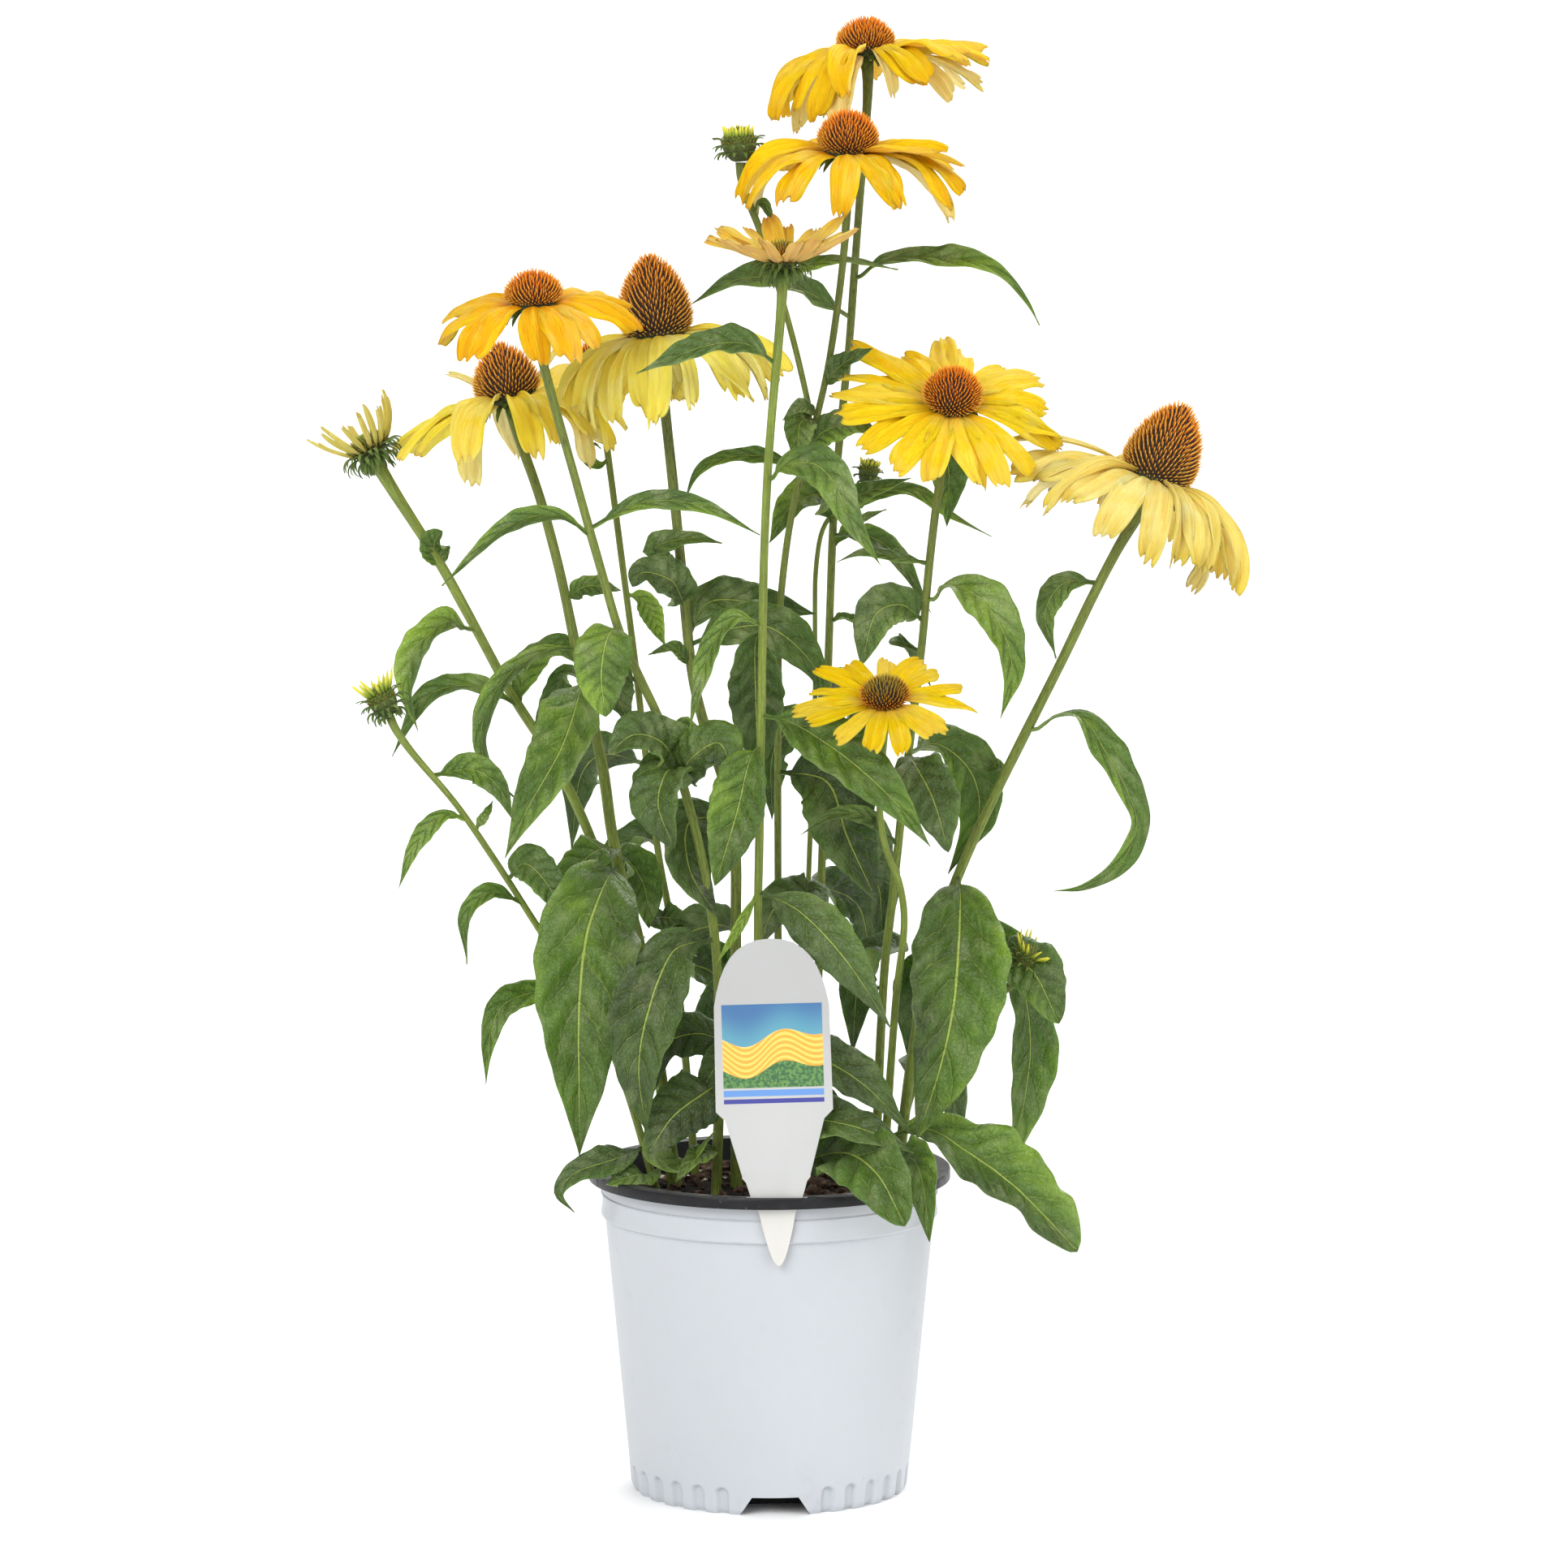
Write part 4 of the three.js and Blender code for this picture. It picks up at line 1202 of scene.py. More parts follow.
def spine_places(head, spacing):
    """Places of the spines on a cone, in a golden-angle spiral: radius, height, outward normal, turn and
    level."""
    foot = (0.74 * head.radius, 0.3 * MM)
    profile = Route(np.array([(r, 0, z) for r, z in [foot, *cone_profile(head)]]))
    shares = np.linspace(0, 1, 200)
    line = profile.at(shares)
    bands = (line[1:, 0] + line[:-1, 0]) / 2 * np.diff(shares) * profile.length
    area = np.concatenate([[0], np.cumsum(bands)])
    count = int(math.tau * area[-1] / (spacing**2 * 0.87))
    wanted = (np.arange(count) + 0.5) / count * area[-1]
    share = np.interp(wanted, area, shares)
    point = profile.at(share)
    along = profile.along(share)
    normal = np.stack([along[:, 2], -along[:, 0]], -1)
    turns = np.arange(count) * GOLDEN_ANGLE
    return point[:, 0], point[:, 2], normal, turns, share


def cone_core(head, inset):
    """The solid heart of a cone with its green underside, as radii and heights."""
    upper = [(max(r - inset, 0) if r else 0, z - inset * 0.55) for r, z in cone_profile(head)]
    upper[-1] = (0, upper[-1][1])
    r = head.radius
    under = [(0, -RECEPTACLE), (0.3 * r, -3.9 * MM), (0.48 * r, -3.2 * MM)]
    waist = [(WAIST * r, -1 * MM), (0.78 * r, 0.8 * MM)]
    return [*under, *waist, *upper]


def spine_finish(kind):
    finish = Finish("spines_" + kind, Specular_IOR_Level=0.2)
    low_shaft, high_shaft, low_tip, high_tip = (linear(*c) for c in CONE_COLOURS[kind])
    along, level, tone = finish.attributes("along", "level", "tone")
    rise = finish.step(level + (tone - 0.5) * 0.25, 0.1, 0.85)
    shaft = finish.mix(rise, low_shaft, high_shaft)
    tip = finish.mix(rise, low_tip, high_tip)
    base = finish.mix(finish.step(along, 0.45, 0.95), shaft, tip)
    base = finish.mix(finish.step(along, 0.45, 0) * 0.85, base, linear(52, 24, 10))
    base = finish.mix(tone * 0.2, base, linear(170, 96, 30))
    finish.surface(Base_Color=base, Roughness=0.42 + tone * 0.2)
    return finish


def core_finish(name, top):
    """The heart of a cone or bud: green below, and above it the colour between the spines."""
    finish = Finish(name)
    where = finish.place()
    (level,) = finish.attributes("level")
    speckle = finish.clouds(where, 900, 3)
    base = finish.mix(level, linear(60, 76, 32), top)
    base = finish.mix(speckle * 0.3, base, linear(44, 30, 16))
    finish.surface(Base_Color=base, Roughness=0.7 + speckle * 0.2, Normal=finish.bump(speckle, 0.0006))
    return finish


def add_core(name, head, inset, finish, slot):
    """The heart of a cone or bud, whose level is 0 on its green underside and 1 above it."""
    core = spun(name + "_receptacle", cone_core(head, inset), steps=28)
    points = points_of(core)
    set_attribute(core.data, "level", np.clip((points[:, 2] + 1 * MM) / (3 * MM), 0, 1))
    core.data.vertices.foreach_set("co", head.placed(points).ravel())
    finish_piece(core, [finish], slot)


def spine_shapes(head, template, spacing, long, radius, seed):
    """Every spine of a cone, each curving up from the core towards the cone's outer shape."""
    random = np.random.RandomState(seed)
    x, y, t = template.points.T
    shapes, tones, levels = [], [], []
    for out, up, normal, heading, share in zip(*spine_places(head, spacing)):
        lift = 0.28 + 0.4 * share
        direction = normal * (1 - lift) + np.array([0.3, 1]) * lift
        direction[1] = max(direction[1], 0.08)
        direction /= np.linalg.norm(direction)
        size = long * (0.75 + 0.25 * min(1, out / (0.35 * head.radius)))
        bend = 0.16 * size * t * t
        foot = np.array([out, up]) - direction * size
        size *= random.uniform(0.86, 1.16)
        thick = radius * (1 - 0.25 * t - 0.6 * t**4) * random.uniform(0.85, 1.1)
        sideways = thick * y + random.uniform(-0.12, 0.12) * size * t
        reach = foot[0] + direction[0] * size * t + thick * x * direction[1]
        height = foot[1] + direction[1] * size * t + bend - thick * x * direction[0]
        shapes.append(head.placed(round_axis(reach, sideways, height, heading)))
        tones.append(random.uniform())
        levels.append(share)
    return shapes, tones, levels


def spines_on(name, head, template, spacing, long, radius, seed, lowest=0):
    """The spines of a cone above a level, in one piece."""
    shapes, tones, levels = spine_shapes(head, template, spacing, long, radius, seed)
    kept = [i for i, level in enumerate(levels) if level > lowest]
    shapes, tones, levels = ([values[i] for i in kept] for values in (shapes, tones, levels))
    along = [template.points[:, 2]] * len(kept)
    return copies(name + "_spines", template, shapes, along=along, tone=tones, level=levels)


class CONEFLOWER_OT_cones(Operator):
    """Set a spiral of stiff spines on every cone"""

    bl_idname = "coneflower.cones"
    bl_label = "Cones"

    def execute(self, context):
        plant = settings().plant
        template = tube(sides=5, cuts=2, top=0.6)
        finishes = {kind: spine_finish(kind) for kind in CONE_COLOURS}
        heart = core_finish("cone_heart", linear(26, 13, 8))
        for seed, name in enumerate(RAYS):
            head = Head(name + "_cone")
            kind = CONE_KINDS.get(name, "ripe")
            full = min(1, head.height / FULL_CONE)
            stout = OLD_SPINES if kind == "old" else 1
            spacing = plant.spine_spacing * (0.8 + 0.2 * full) * stout
            long = plant.spine_length * (0.55 + 0.45 * full) * stout**0.5
            radius = plant.spine_radius * stout**0.7
            piece = spines_on(name, head, template, spacing, long, radius, seed)
            finish_piece(piece, [finishes[kind]], "cone_spines", name + "_cone")
            add_core(name, head, plant.spine_length * 0.6, heart, "cone_spines")
        return {"FINISHED"}


# Rays and bracts


def arc(start, length, rise, droop, t):
    """Distance out, height and slope along a strip that starts by rising and bends down to its droop."""
    steps = np.linspace(0, 1, 61)
    slope = np.radians(rise - (rise + droop) * steps)
    middle = (slope[1:] + slope[:-1]) / 2
    out = np.concatenate([[0], np.cumsum(np.cos(middle))]) * length / 60
    up = np.concatenate([[0], np.cumsum(np.sin(middle))]) * length / 60
    return start + np.interp(t, steps, out), np.interp(t, steps, up), np.interp(t, steps, slope)


def ray_outline(t):
    """A ray's width along it: a narrow claw that widens, and a blunt end."""
    claw = 0.34 + 0.66 * np.sin(math.pi / 2 * np.clip(t / 0.46, 0, 1))
    end = np.sqrt(1 - (np.clip(t - 0.68, 0, 1) / 0.37) ** 2)
    return claw * end


def bract_outline(t):
    return np.sin(math.pi * np.clip(0.24 + 0.76 * t, 0, 1)) ** 0.8 + 0.02


def ray_shape(
    head,
    template,
    random,
    thickness,
    start,
    base,
    heading,
    size,
    rise,
    droop,
    curl,
    outline=ray_outline,
    unruly=1,
):
    """One ray or bract in its head's frame, with its own small bends, grooves and notched tip."""
    v, u, w = template.points.T
    long, wide = size
    ray = outline is ray_outline
    depth = random.uniform(0.1, 1.2) * 0.036 if ray else 0
    lobes = np.cos(2 * math.pi * random.uniform(0.7, 1.3) * v + random.uniform(-0.9, 0.9))
    fringe = np.interp(v, np.linspace(-1, 1, 9), random.uniform(0, 1, 9)) * random.uniform(0, 0.09) * ray
    notch = (depth * (1 - lobes) + 0.06 * ray * random.uniform(-1, 1) * v) * u**6 + fringe * u**10
    t = np.clip(u * (1 - notch), 0, 1)
    out, up, slope = arc(start, long, rise, droop, t)
    half = wide / 2 * outline(u)
    grooves = 0.14 * np.cos(2 * math.pi * 1.25 * v) + 0.045 * np.cos(2 * math.pi * 3.5 * v)
    grooves = grooves * smooth_step(u * 4)
    wave = random.uniform(0, math.tau)
    ripple = 0.2 * np.sin(6 * u + wave + 1.3 * v) * v**2 + 0.06 * np.sin(13 * u + 3 * v + wave)
    ripple = unruly * ripple
    lift = half * (curl * v**2 + grooves * ray + ripple * ray * np.minimum(1, 3 * u))
    through = w * thickness * (1 - 0.55 * np.abs(v) ** 3)
    twist = random.uniform(-0.7, 0.7) * unruly * u**1.5
    bend = random.uniform(-0.13, 0.13) * unruly * long * u**2
    side = half * v * np.cos(twist) - (lift + through) * np.sin(twist) + bend
    rise_off = half * v * np.sin(twist) + (lift + through) * np.cos(twist)
    radial = out - np.sin(slope) * rise_off
    height = base + up + np.cos(slope) * rise_off
    return head.placed(round_axis(radial, -side, height, heading))


# Undersides that are unlike the upper side's pale streaks
UNDERSIDES = {"flower_3": linear(232, 182, 112)}


def ray_finish(name):
    middle, foot, tip = (linear(*c) for c in RAY_COLOURS[name])
    finish = Finish("rays_" + name, Specular_IOR_Level=0.2, Subsurface_Weight=0.5, Subsurface_Scale=0.002)
    finish.shader.inputs["Subsurface Radius"].default_value = (1, 0.6, 0.2)
    where = finish.place()
    along, across, tone, under = finish.attributes("along", "across", "tone", "under")
    lanes = finish.join(across * 2.4, along * 0.7, tone * 30)
    lines = finish.clouds(lanes, 4.2, 4)
    fine = finish.clouds(finish.join(across * 9, along, tone * 17), 5, 2)
    patches = finish.clouds(where, 75, 3)
    base = finish.mix(finish.step(along, 0.32, 0) * 0.85, middle, foot)
    base = finish.mix(finish.step(along + (patches - 0.5) * 0.3, 0.72, 1) * 0.7, base, tip)
    # Darker lengthwise lines: the rays' veins, with painted shade in their creases.
    base = finish.mix(finish.step(lines, 0.48, 0.7) * 0.65, base, foot)
    # Pale patches: the rays' own paler parts, with painted highlights on them.
    pale = tuple(c * 0.55 + p * 0.45 for c, p in zip(middle, linear(255, 236, 166)))
    paleness = float(np.interp(middle[2], [0, 0.1], [0.25, 0.7]))
    base = finish.mix(finish.step(patches + (tone - 0.5) * 0.35, 0.46, 0.66) * paleness, base, pale)
    base = finish.mix(under * (0.8 if name in UNDERSIDES else 0.35), base, UNDERSIDES.get(name, pale))
    base = finish.mix(finish.step(tone, 1.1, 1.5) * (0.5 + patches * 0.5), base, linear(250, 224, 156))
    base = finish.mix(finish.step(along, 0.96, 1) * 0.35, base, linear(184, 146, 74))
    finish.surface(Base_Color=base, Roughness=0.46 + fine * 0.16)
    finish.surface(Normal=finish.bump(lines + fine * 0.4, 0.0015))
    return finish


def ray_sizes(name):
    """The heading, the height at the cone, the size, the rise and the droop of every ray of a flower."""
    count, long, wide, rise, droop, swing, low = RAYS[name][:7]
    middle, gap = GAPS.get(name, (-90, 0))

    def place(i, all_of_them, uneven):
        share = (i + 0.5 + vary(i, uneven)) / all_of_them
        heading = math.radians(middle + gap / 2 + (360 - gap) * share)
        return heading, droop + swing * math.cos(heading - math.radians(low))

    for i in range(count):
        heading, lower = place(i, count, 0.2)
        size = (long * (1 + vary(i + 5, 0.09)) * MM, wide * MM)
        yield heading, vary(i, 0.6) * MM, size, rise, lower + vary(i + 3, 7)
    faded = FADED_RAYS.get(name, 0)
    for i in range(faded):
        heading, lower = place(i, faded, 0.3)
        yield heading, -1.6 * MM, (long * 1.02 * MM, wide * 0.9 * MM), rise - 12, lower + 16


class CONEFLOWER_OT_rays(Operator):
    """Set the ray petals round every cone"""

    bl_idname = "coneflower.rays"
    bl_label = "Rays"

    def execute(self, context):
        thickness = settings().plant.ray_thickness
        template = strip(across=12, along=24)
        for seed, name in enumerate(RAYS):
            random = np.random.RandomState(100 + seed)
            head = Head(name + "_cone")
            ray = functools.partial(ray_shape, head, template, random, thickness, WAIST * head.radius)
            curl, unruly = RAYS[name][7:]
            shapes = []
            for heading, base, (long, wide), rise, droop in ray_sizes(name):
                size = (long * random.uniform(0.9, 1.05), wide * random.uniform(0.78, 1.2))
                droop += random.uniform(-10, 10) * unruly
                bent = 0.7 if random.uniform() < 0.12 * unruly else curl
                shapes.append(ray(base, heading, size, rise, droop, bent, unruly=unruly))
            faded = FADED_RAYS.get(name, 0)
            tones = [*random.uniform(0, 1, len(shapes) - faded), *[FADED] * faded]
            for heading, long, wide, rise, droop, bent, tone in STRAY_RAYS.get(name, ()):
                size = (long * MM, wide * MM)
                shapes.append(ray(0.8 * MM, math.radians(heading), size, rise, droop, bent, unruly=0.6))
                tones.append(tone)
            piece = strips(name + "_petals", template, shapes, tones)
            finish_piece(piece, [ray_finish(name)], "ray_petals", name + "_rays")
        return {"FINISHED"}


BRACT_THICKNESS = 0.5 * MM
BRACT_CURL = 0.3
QUILL_CURL = 0.8

# Bracts under a head: rows of count, start as a share of the radius, height, length, width, rise and droop
OPEN_BRACTS = ((12, 0.5, -2.4, 9, 2.6, -20, 70), (12, 0.62, -1.4, 8, 2.4, -5, 50))
HALF_OPEN_BRACTS = (
    (12, 0.42, -5, 7.5, 1.8, -45, 95),
    (16, 0.6, -3.6, 8.5, 1.8, -10, 105),
    (18, 0.78, -2, 9, 1.8, 15, 100),
    (18, 0.9, -0.4, 8, 1.7, 30, 80),
)
BUD_BRACTS = (
    (9, 0.42, -3, 5, 1.9, -10, 80),
    (12, 0.6, -2, 6.5, 1.9, 10, 90),
    (14, 0.78, -0.4, 7, 1.8, 35, 80),
    (15, 0.86, 2, 7, 1.7, 55, 60),
    (16, 0.86, 4, 6.5, 1.6, 70, 20),
)
SMALL_BUD_BRACTS = (
    (9, 0.5, -2, 4, 1.6, -10, 60),
    (11, 0.74, 0, 4.5, 1.5, 35, 60),
    (12, 0.86, 2, 4.5, 1.4, 60, 30),
)
BRACTS = {name: OPEN_BRACTS for name in RAYS}
BRACTS |= {"flower_3": HALF_OPEN_BRACTS, "flower_11": HALF_OPEN_BRACTS}


def bract_finish():
    finish = Finish("bract", Specular_IOR_Level=0.3)
    where = finish.place()
    along, tone = finish.attributes("along", "tone")
    spots = finish.clouds(where, 500, 3)
    base = finish.mix(tone, linear(72, 96, 40), linear(112, 134, 60))
    base = finish.mix(finish.step(along, 0.6, 1) * 0.6, base, linear(58, 64, 36))
    base = finish.mix(spots * 0.3, base, linear(60, 76, 40))
    finish.surface(Base_Color=base, Roughness=0.6 + spots * 0.2, Normal=finish.bump(spots, 0.0004))
    return finish


def add_bracts(name, head, rows, finish, seed):
    random = np.random.RandomState(200 + seed)
    template = strip(across=2, along=7)
    bract = functools.partial(ray_shape, head, template, random, BRACT_THICKNESS)
    shapes = []
    for k, (count, share, height, long, wide, rise, droop) in enumerate(rows):
        start = share * head.radius - MM
        for i in range(count):
            heading = math.tau * (i + 0.5 * (k % 2) + random.uniform(-0.2, 0.2)) / count
            size = (long * MM * random.uniform(0.8, 1.15), wide * MM)
            tilt = droop + random.uniform(-14, 14)
            shapes.append(bract(start, height * MM, heading, size, rise, tilt, BRACT_CURL, bract_outline))
    piece = strips(name + "_bracts", template, shapes, random.uniform(0, 1, len(shapes)))
    finish_piece(piece, [finish], "bud_green")


class CONEFLOWER_OT_bracts(Operator):
    """Set the green bracts under every flower"""

    bl_idname = "coneflower.bracts"
    bl_label = "Bracts"

    def execute(self, context):
        finish = bract_finish()
        for seed, (name, rows) in enumerate(BRACTS.items()):
            add_bracts(name, Head(name + "_cone"), rows, finish, seed)
        return {"FINISHED"}


BUD_FULLNESS = 0.88  # of a bud's heart under its bracts, as a share of the frame's plain head

# Young rays that stand up round a bud: count, length, width, rise and droop
BUD_QUILLS = {
    "bud_1": (26, 4.5, 1.5, 80, -90),
    "bud_2": (17, 9, 1.6, 50, -72),
    "bud_3": (16, 8.5, 1.6, 40, -68),
    "bud_4": (14, 3, 1.3, 70, -80),
}


def quill_finish():
    finish = Finish("quill", Specular_IOR_Level=0.3, Subsurface_Weight=0.1, Subsurface_Scale=0.002)
    along, tone = finish.attributes("along", "tone")
    base = finish.mix(finish.step(along + tone * 0.3, 0.2, 1), linear(120, 150, 50), linear(214, 208, 70))
    finish.surface(Base_Color=base, Roughness=0.5 + tone * 0.1)
    return finish


class CONEFLOWER_OT_buds(Operator):
    """Make the closed and opening buds"""

    bl_idname = "coneflower.buds"
    bl_label = "Buds"

    def execute(self, context):
        plant = settings().plant
        spines = tube(sides=5, cuts=2, top=0.6)
        quills = strip(across=4, along=8)
        green, bract, quill = spine_finish("green"), bract_finish(), quill_finish()
        heart = core_finish("bud_heart", linear(82, 96, 40))
        for seed, (name, (count, long, wide, rise, droop)) in enumerate(BUD_QUILLS.items()):
            head = Head(name + "_head")
            head.radius *= BUD_FULLNESS
            head.height *= BUD_FULLNESS
            spacing = plant.spine_spacing * 0.85
            spine_length, radius = plant.spine_length * 0.7, plant.spine_radius * 0.8
            centre = spines_on(name, head, spines, spacing, spine_length, radius, seed, lowest=0.3)
            finish_piece(centre, [green], "bud_green", name + "_head")
            add_core(name, head, plant.spine_length * 0.3, heart, "bud_green")
            rows = {"bud_1": BUD_BRACTS[2:], "bud_4": SMALL_BUD_BRACTS}.get(name, BUD_BRACTS)
            add_bracts(name, head, rows, bract, 20 + seed)
            random = np.random.RandomState(300 + seed)
            start, base = 0.72 * head.radius, 0.6 * head.height
            shapes = []
            for i in range(count):
                heading = math.tau * (i + random.uniform(-0.2, 0.2)) / count
                size = (long * MM * random.uniform(0.8, 1.15), wide * MM)
                place = (start, base, heading, size, rise, droop + random.uniform(-10, 10))
                one = ray_shape(head, quills, random, BRACT_THICKNESS, *place, QUILL_CURL, bract_outline)
                shapes.append(one)
            ring = strips(name + "_quills", quills, shapes, random.uniform(0, 1, count))
            finish_piece(ring, [quill], "bud_green")
        return {"FINISHED"}


# Leaves

# A leaf's brightness paints its light and shade as well as its own colour.
# How bright each larger leaf is, from deep green at 0 to yellow green at 1, how much wider its blade is
# than the frame's plain one, how far it is turned towards the viewer, and how blunt its tip is
LARGE_LEAVES = {
    "leaf_1": (0.4, 1.5, 0.9, 0),
    "leaf_2": (0.28, 1.4, 0.4, 0),
    "leaf_3": (0.45, 1.3, 0.2, 0),
    "leaf_4": (0.5, 1.2, 0, 0),
    "leaf_5": (0.12, 1.15, 0, 0.4),
    "leaf_6": (0.5, 1.15, 0, 0),
    "leaf_7": (0.54, 1.2, 0, 0),
    "leaf_8": (0.4, 1.05, 0, 0),
    "leaf_9": (0.2, 1.1, 0, 0.2),
    "leaf_10": (0.42, 1.2, 0.2, 0),
    "leaf_11": (0.4, 1.05, 0, 0.1),
    "leaf_12": (0.38, 1.05, 0, 0),
    "leaf_13": (0.58, 1, 0, 0.9),
    "leaf_14": (0.46, 1.15, 0.3, 1),
    "leaf_15": (0.44, 1.15, 0, 0.5),
    "leaf_16": (0.42, 1.15, 0.5, 1),
}
SIDE_VEINS = 8  # along a leaf, on each side
VEIN_SWEEP = 1.4  # how many of them a vein passes on its way to the margin


def leaf_finish(plant):
    finish = Finish("leaf", Specular_IOR_Level=0.42, Subsurface_Weight=0.15, Subsurface_Scale=0.002)
    finish.shader.inputs["Subsurface Radius"].default_value = (0.6, 1, 0.2)
    where = finish.place()
    z = finish.parts(where)[2]
    along, across, tone, under = finish.attributes("along", "across", "tone", "under")
    away = abs(across)
    soft = finish.clouds(where, 45, 3)
    drift = finish.node("ShaderNodeTexNoise", {}, {"Vector": where, "Scale": 150, "Detail": 2}, output=1)
    crooked = {0: drift, 1: (0.006, 0.006, 0.006), 2: where}
    crooked = finish.node("ShaderNodeVectorMath", {"operation": "MULTIPLY_ADD"}, crooked)
    midrib = finish.step(away, 0.05, 0.015)
    outer = finish.step(abs(away - 0.5 + (soft - 0.5) * 0.12), 0.05, 0) * finish.step(along, 0.1, 0.2)
    phase = finish.maths("FRACT", along * SIDE_VEINS - away * VEIN_SWEEP + (soft - 0.5) * 1.2 + 8)
    side_veins = finish.step(abs(phase - 0.5), 0.09, 0) * finish.step(away, 1, 0.6)
    net = finish.step(finish.cells(crooked, 360), 0.07, 0)
    veins = finish.maths("MAXIMUM", side_veins, outer * 0.4)
    deep, fresh, bright = plant.leaf_dark, plant.leaf_green, plant.leaf_bright
    # Painted shade and light: the blade is darker beside its side veins, as shade in their grooves; one half
    # of a leaf is lighter than the other, as on a folded leaf; and leaves higher up the plant are lighter.
    painted_groove_shade = finish.step(abs(phase - 0.5), 0.4, 0) * finish.step(away, 1, 0.7)
    painted_half_shade = across * (finish.maths("FRACT", tone * 37) - 0.5) * 0.5
    light = tone + (soft - 0.5) * 0.8 + painted_half_shade - painted_groove_shade * 0.12 + finish.step(z, 0.18, 0.5) * 0.22
    upper = finish.ramp(light, ((0, deep), (0.5, fresh), (1, bright)))
    upper = finish.mix(finish.maths("FRACT", tone * 53) * 0.45, upper, linear(70, 86, 52))
    # Painted sheen: grey highlight patches on the upper side, stronger on leaves higher up.
    painted_sheen = finish.step(finish.clouds(where, 70, 4), 0.48, 0.7)
    upper = finish.mix(painted_sheen * (0.2 + finish.step(z, 0.2, 0.5) * 0.25), upper, plant.leaf_painted_sheen)
    lower = finish.mix(tone * 0.4 + (soft - 0.5) * 0.8, plant.leaf_under, bright)
    # Painted shade beside the side veins on the underside too.
    lower = finish.mix(painted_groove_shade * 0.25, lower, deep)
    base = finish.mix(under, upper, lower)
    base = finish.mix(net * 0.06 + veins * (0.16 + under * 0.2), base, plant.leaf_vein)
    base = finish.mix(midrib * 0.75, base, plant.leaf_vein)
    base = finish.mix(finish.step(away, 0.94, 1) * 0.4, base, plant.leaf_under)
    finish.surface(Base_Color=base, Roughness=0.36 + soft * 0.16)
    ridge = (under * 2 - 1) * (midrib * 0.4 + veins * 0.22 + net * 0.08)
    puckers = finish.clouds(where, 130, 3)
    grain = finish.clouds(where, 800, 3)
    finish.surface(Normal=finish.bump(ridge + puckers * 1.1 + grain * 0.16, 0.0022))
    return finish


def leaf_outline(t, broad, blunt):
    """A leaf's half width along it: a stalk, then a blade widest at a third, or further out when blunt."""
    u = np.clip((t - 0.08) / 0.92, 0, 1)
    swell = np.sin(math.pi * u ** (0.72 + 0.5 * blunt))
    fullness = 1.15 - 0.5 * broad - 0.65 * blunt * (1 - broad)
    return swell**fullness * (1 - 0.25 * u**3 * (1 - broad))


def leaf_shape(template, route, upper, width, seed, fold=0.55, wavy=1.7, blunt=0):
    """A leaf on a route, with its upper side towards the given directions."""
    plant = settings().plant
    random = np.random.RandomState(400 + seed)
    v, u, w = template.points.T
    centre, along = route.at(u), route.along(u)
    places = np.linspace(0, 1, len(upper))
    towards = np.stack([np.interp(u, places, column) for column in np.asarray(upper).T], -1)
    turn = random.uniform(-0.4, 0.4) * u[:, None]
    side = unit(np.cross(along, towards))
    side = side * np.cos(turn) + np.cross(side, along) * np.sin(turn)
    normal = np.cross(side, along)
    broad = np.interp(width / route.length, [0.25, 0.5], [0, 1])
    blade = leaf_outline(u, broad, blunt)
    stalk = plant.petiole_width / 2 * (1 - smooth_step(u / 0.5))
    teeth = 1 + 0.035 * np.sin(2 * math.pi * 9 * u + np.sign(v)) * blade
    half = np.maximum(width / 2 * blade * teeth, stalk + 0.1 * MM)
    away = np.abs(v)
    hand = np.sign(v)
    shift = random.uniform(0, math.tau)
    wave = np.sin(2 * math.pi * 2.3 * u + shift + 1.6 * hand)
    wave = wave + 0.5 * np.sin(2 * math.pi * 5.1 * u + 2 * shift - hand)
    quilt = np.cos(2 * math.pi * (SIDE_VEINS * u - VEIN_SWEEP * away)) * away * (1 - away) * 4
    rolled = fold * away**1.2 - (0.1 + 0.1 * random.uniform()) * away**2.6
    rolled = rolled + 0.11 * wavy * wave * away**2 * smooth_step(u * 5) + 0.13 * quilt * blade
    rib = np.exp(-((v / 0.1) ** 2)) * (1 - 0.7 * u)
    thick = plant.leaf_thickness * (1 - 0.4 * away**2) + 0.9 * MM * rib * (w < 0) + 0.5 * MM * (blade < 0.05)
    spread = half * v * (1 - 0.3 * np.clip(fold, 0, 1) ** 2)
    return centre + side * spread[:, None] + normal * (half * rolled + w * thick)[:, None]


class CONEFLOWER_OT_leaves(Operator):
    """Make the larger leaves on the frame's own lines"""

    bl_idname = "coneflower.leaves"
    bl_label = "Leaves"

    def execute(self, context):
        template = strip(across=14, along=52)
        finish = leaf_finish(settings().plant)
        for seed, (name, (tone, widen, turn, blunt)) in enumerate(LARGE_LEAVES.items()):
            route, upper, width = leaf_lines(name)
            upper = unit(np.array(upper) + turn * np.array([0, -1, 0]))
            points = leaf_shape(template, route, upper, widen * width, seed, blunt=blunt)
            piece = strips(name + "_blade", template, [points], [tone])
            finish_piece(piece, [finish], "leaf_green", name)
        return {"FINISHED"}


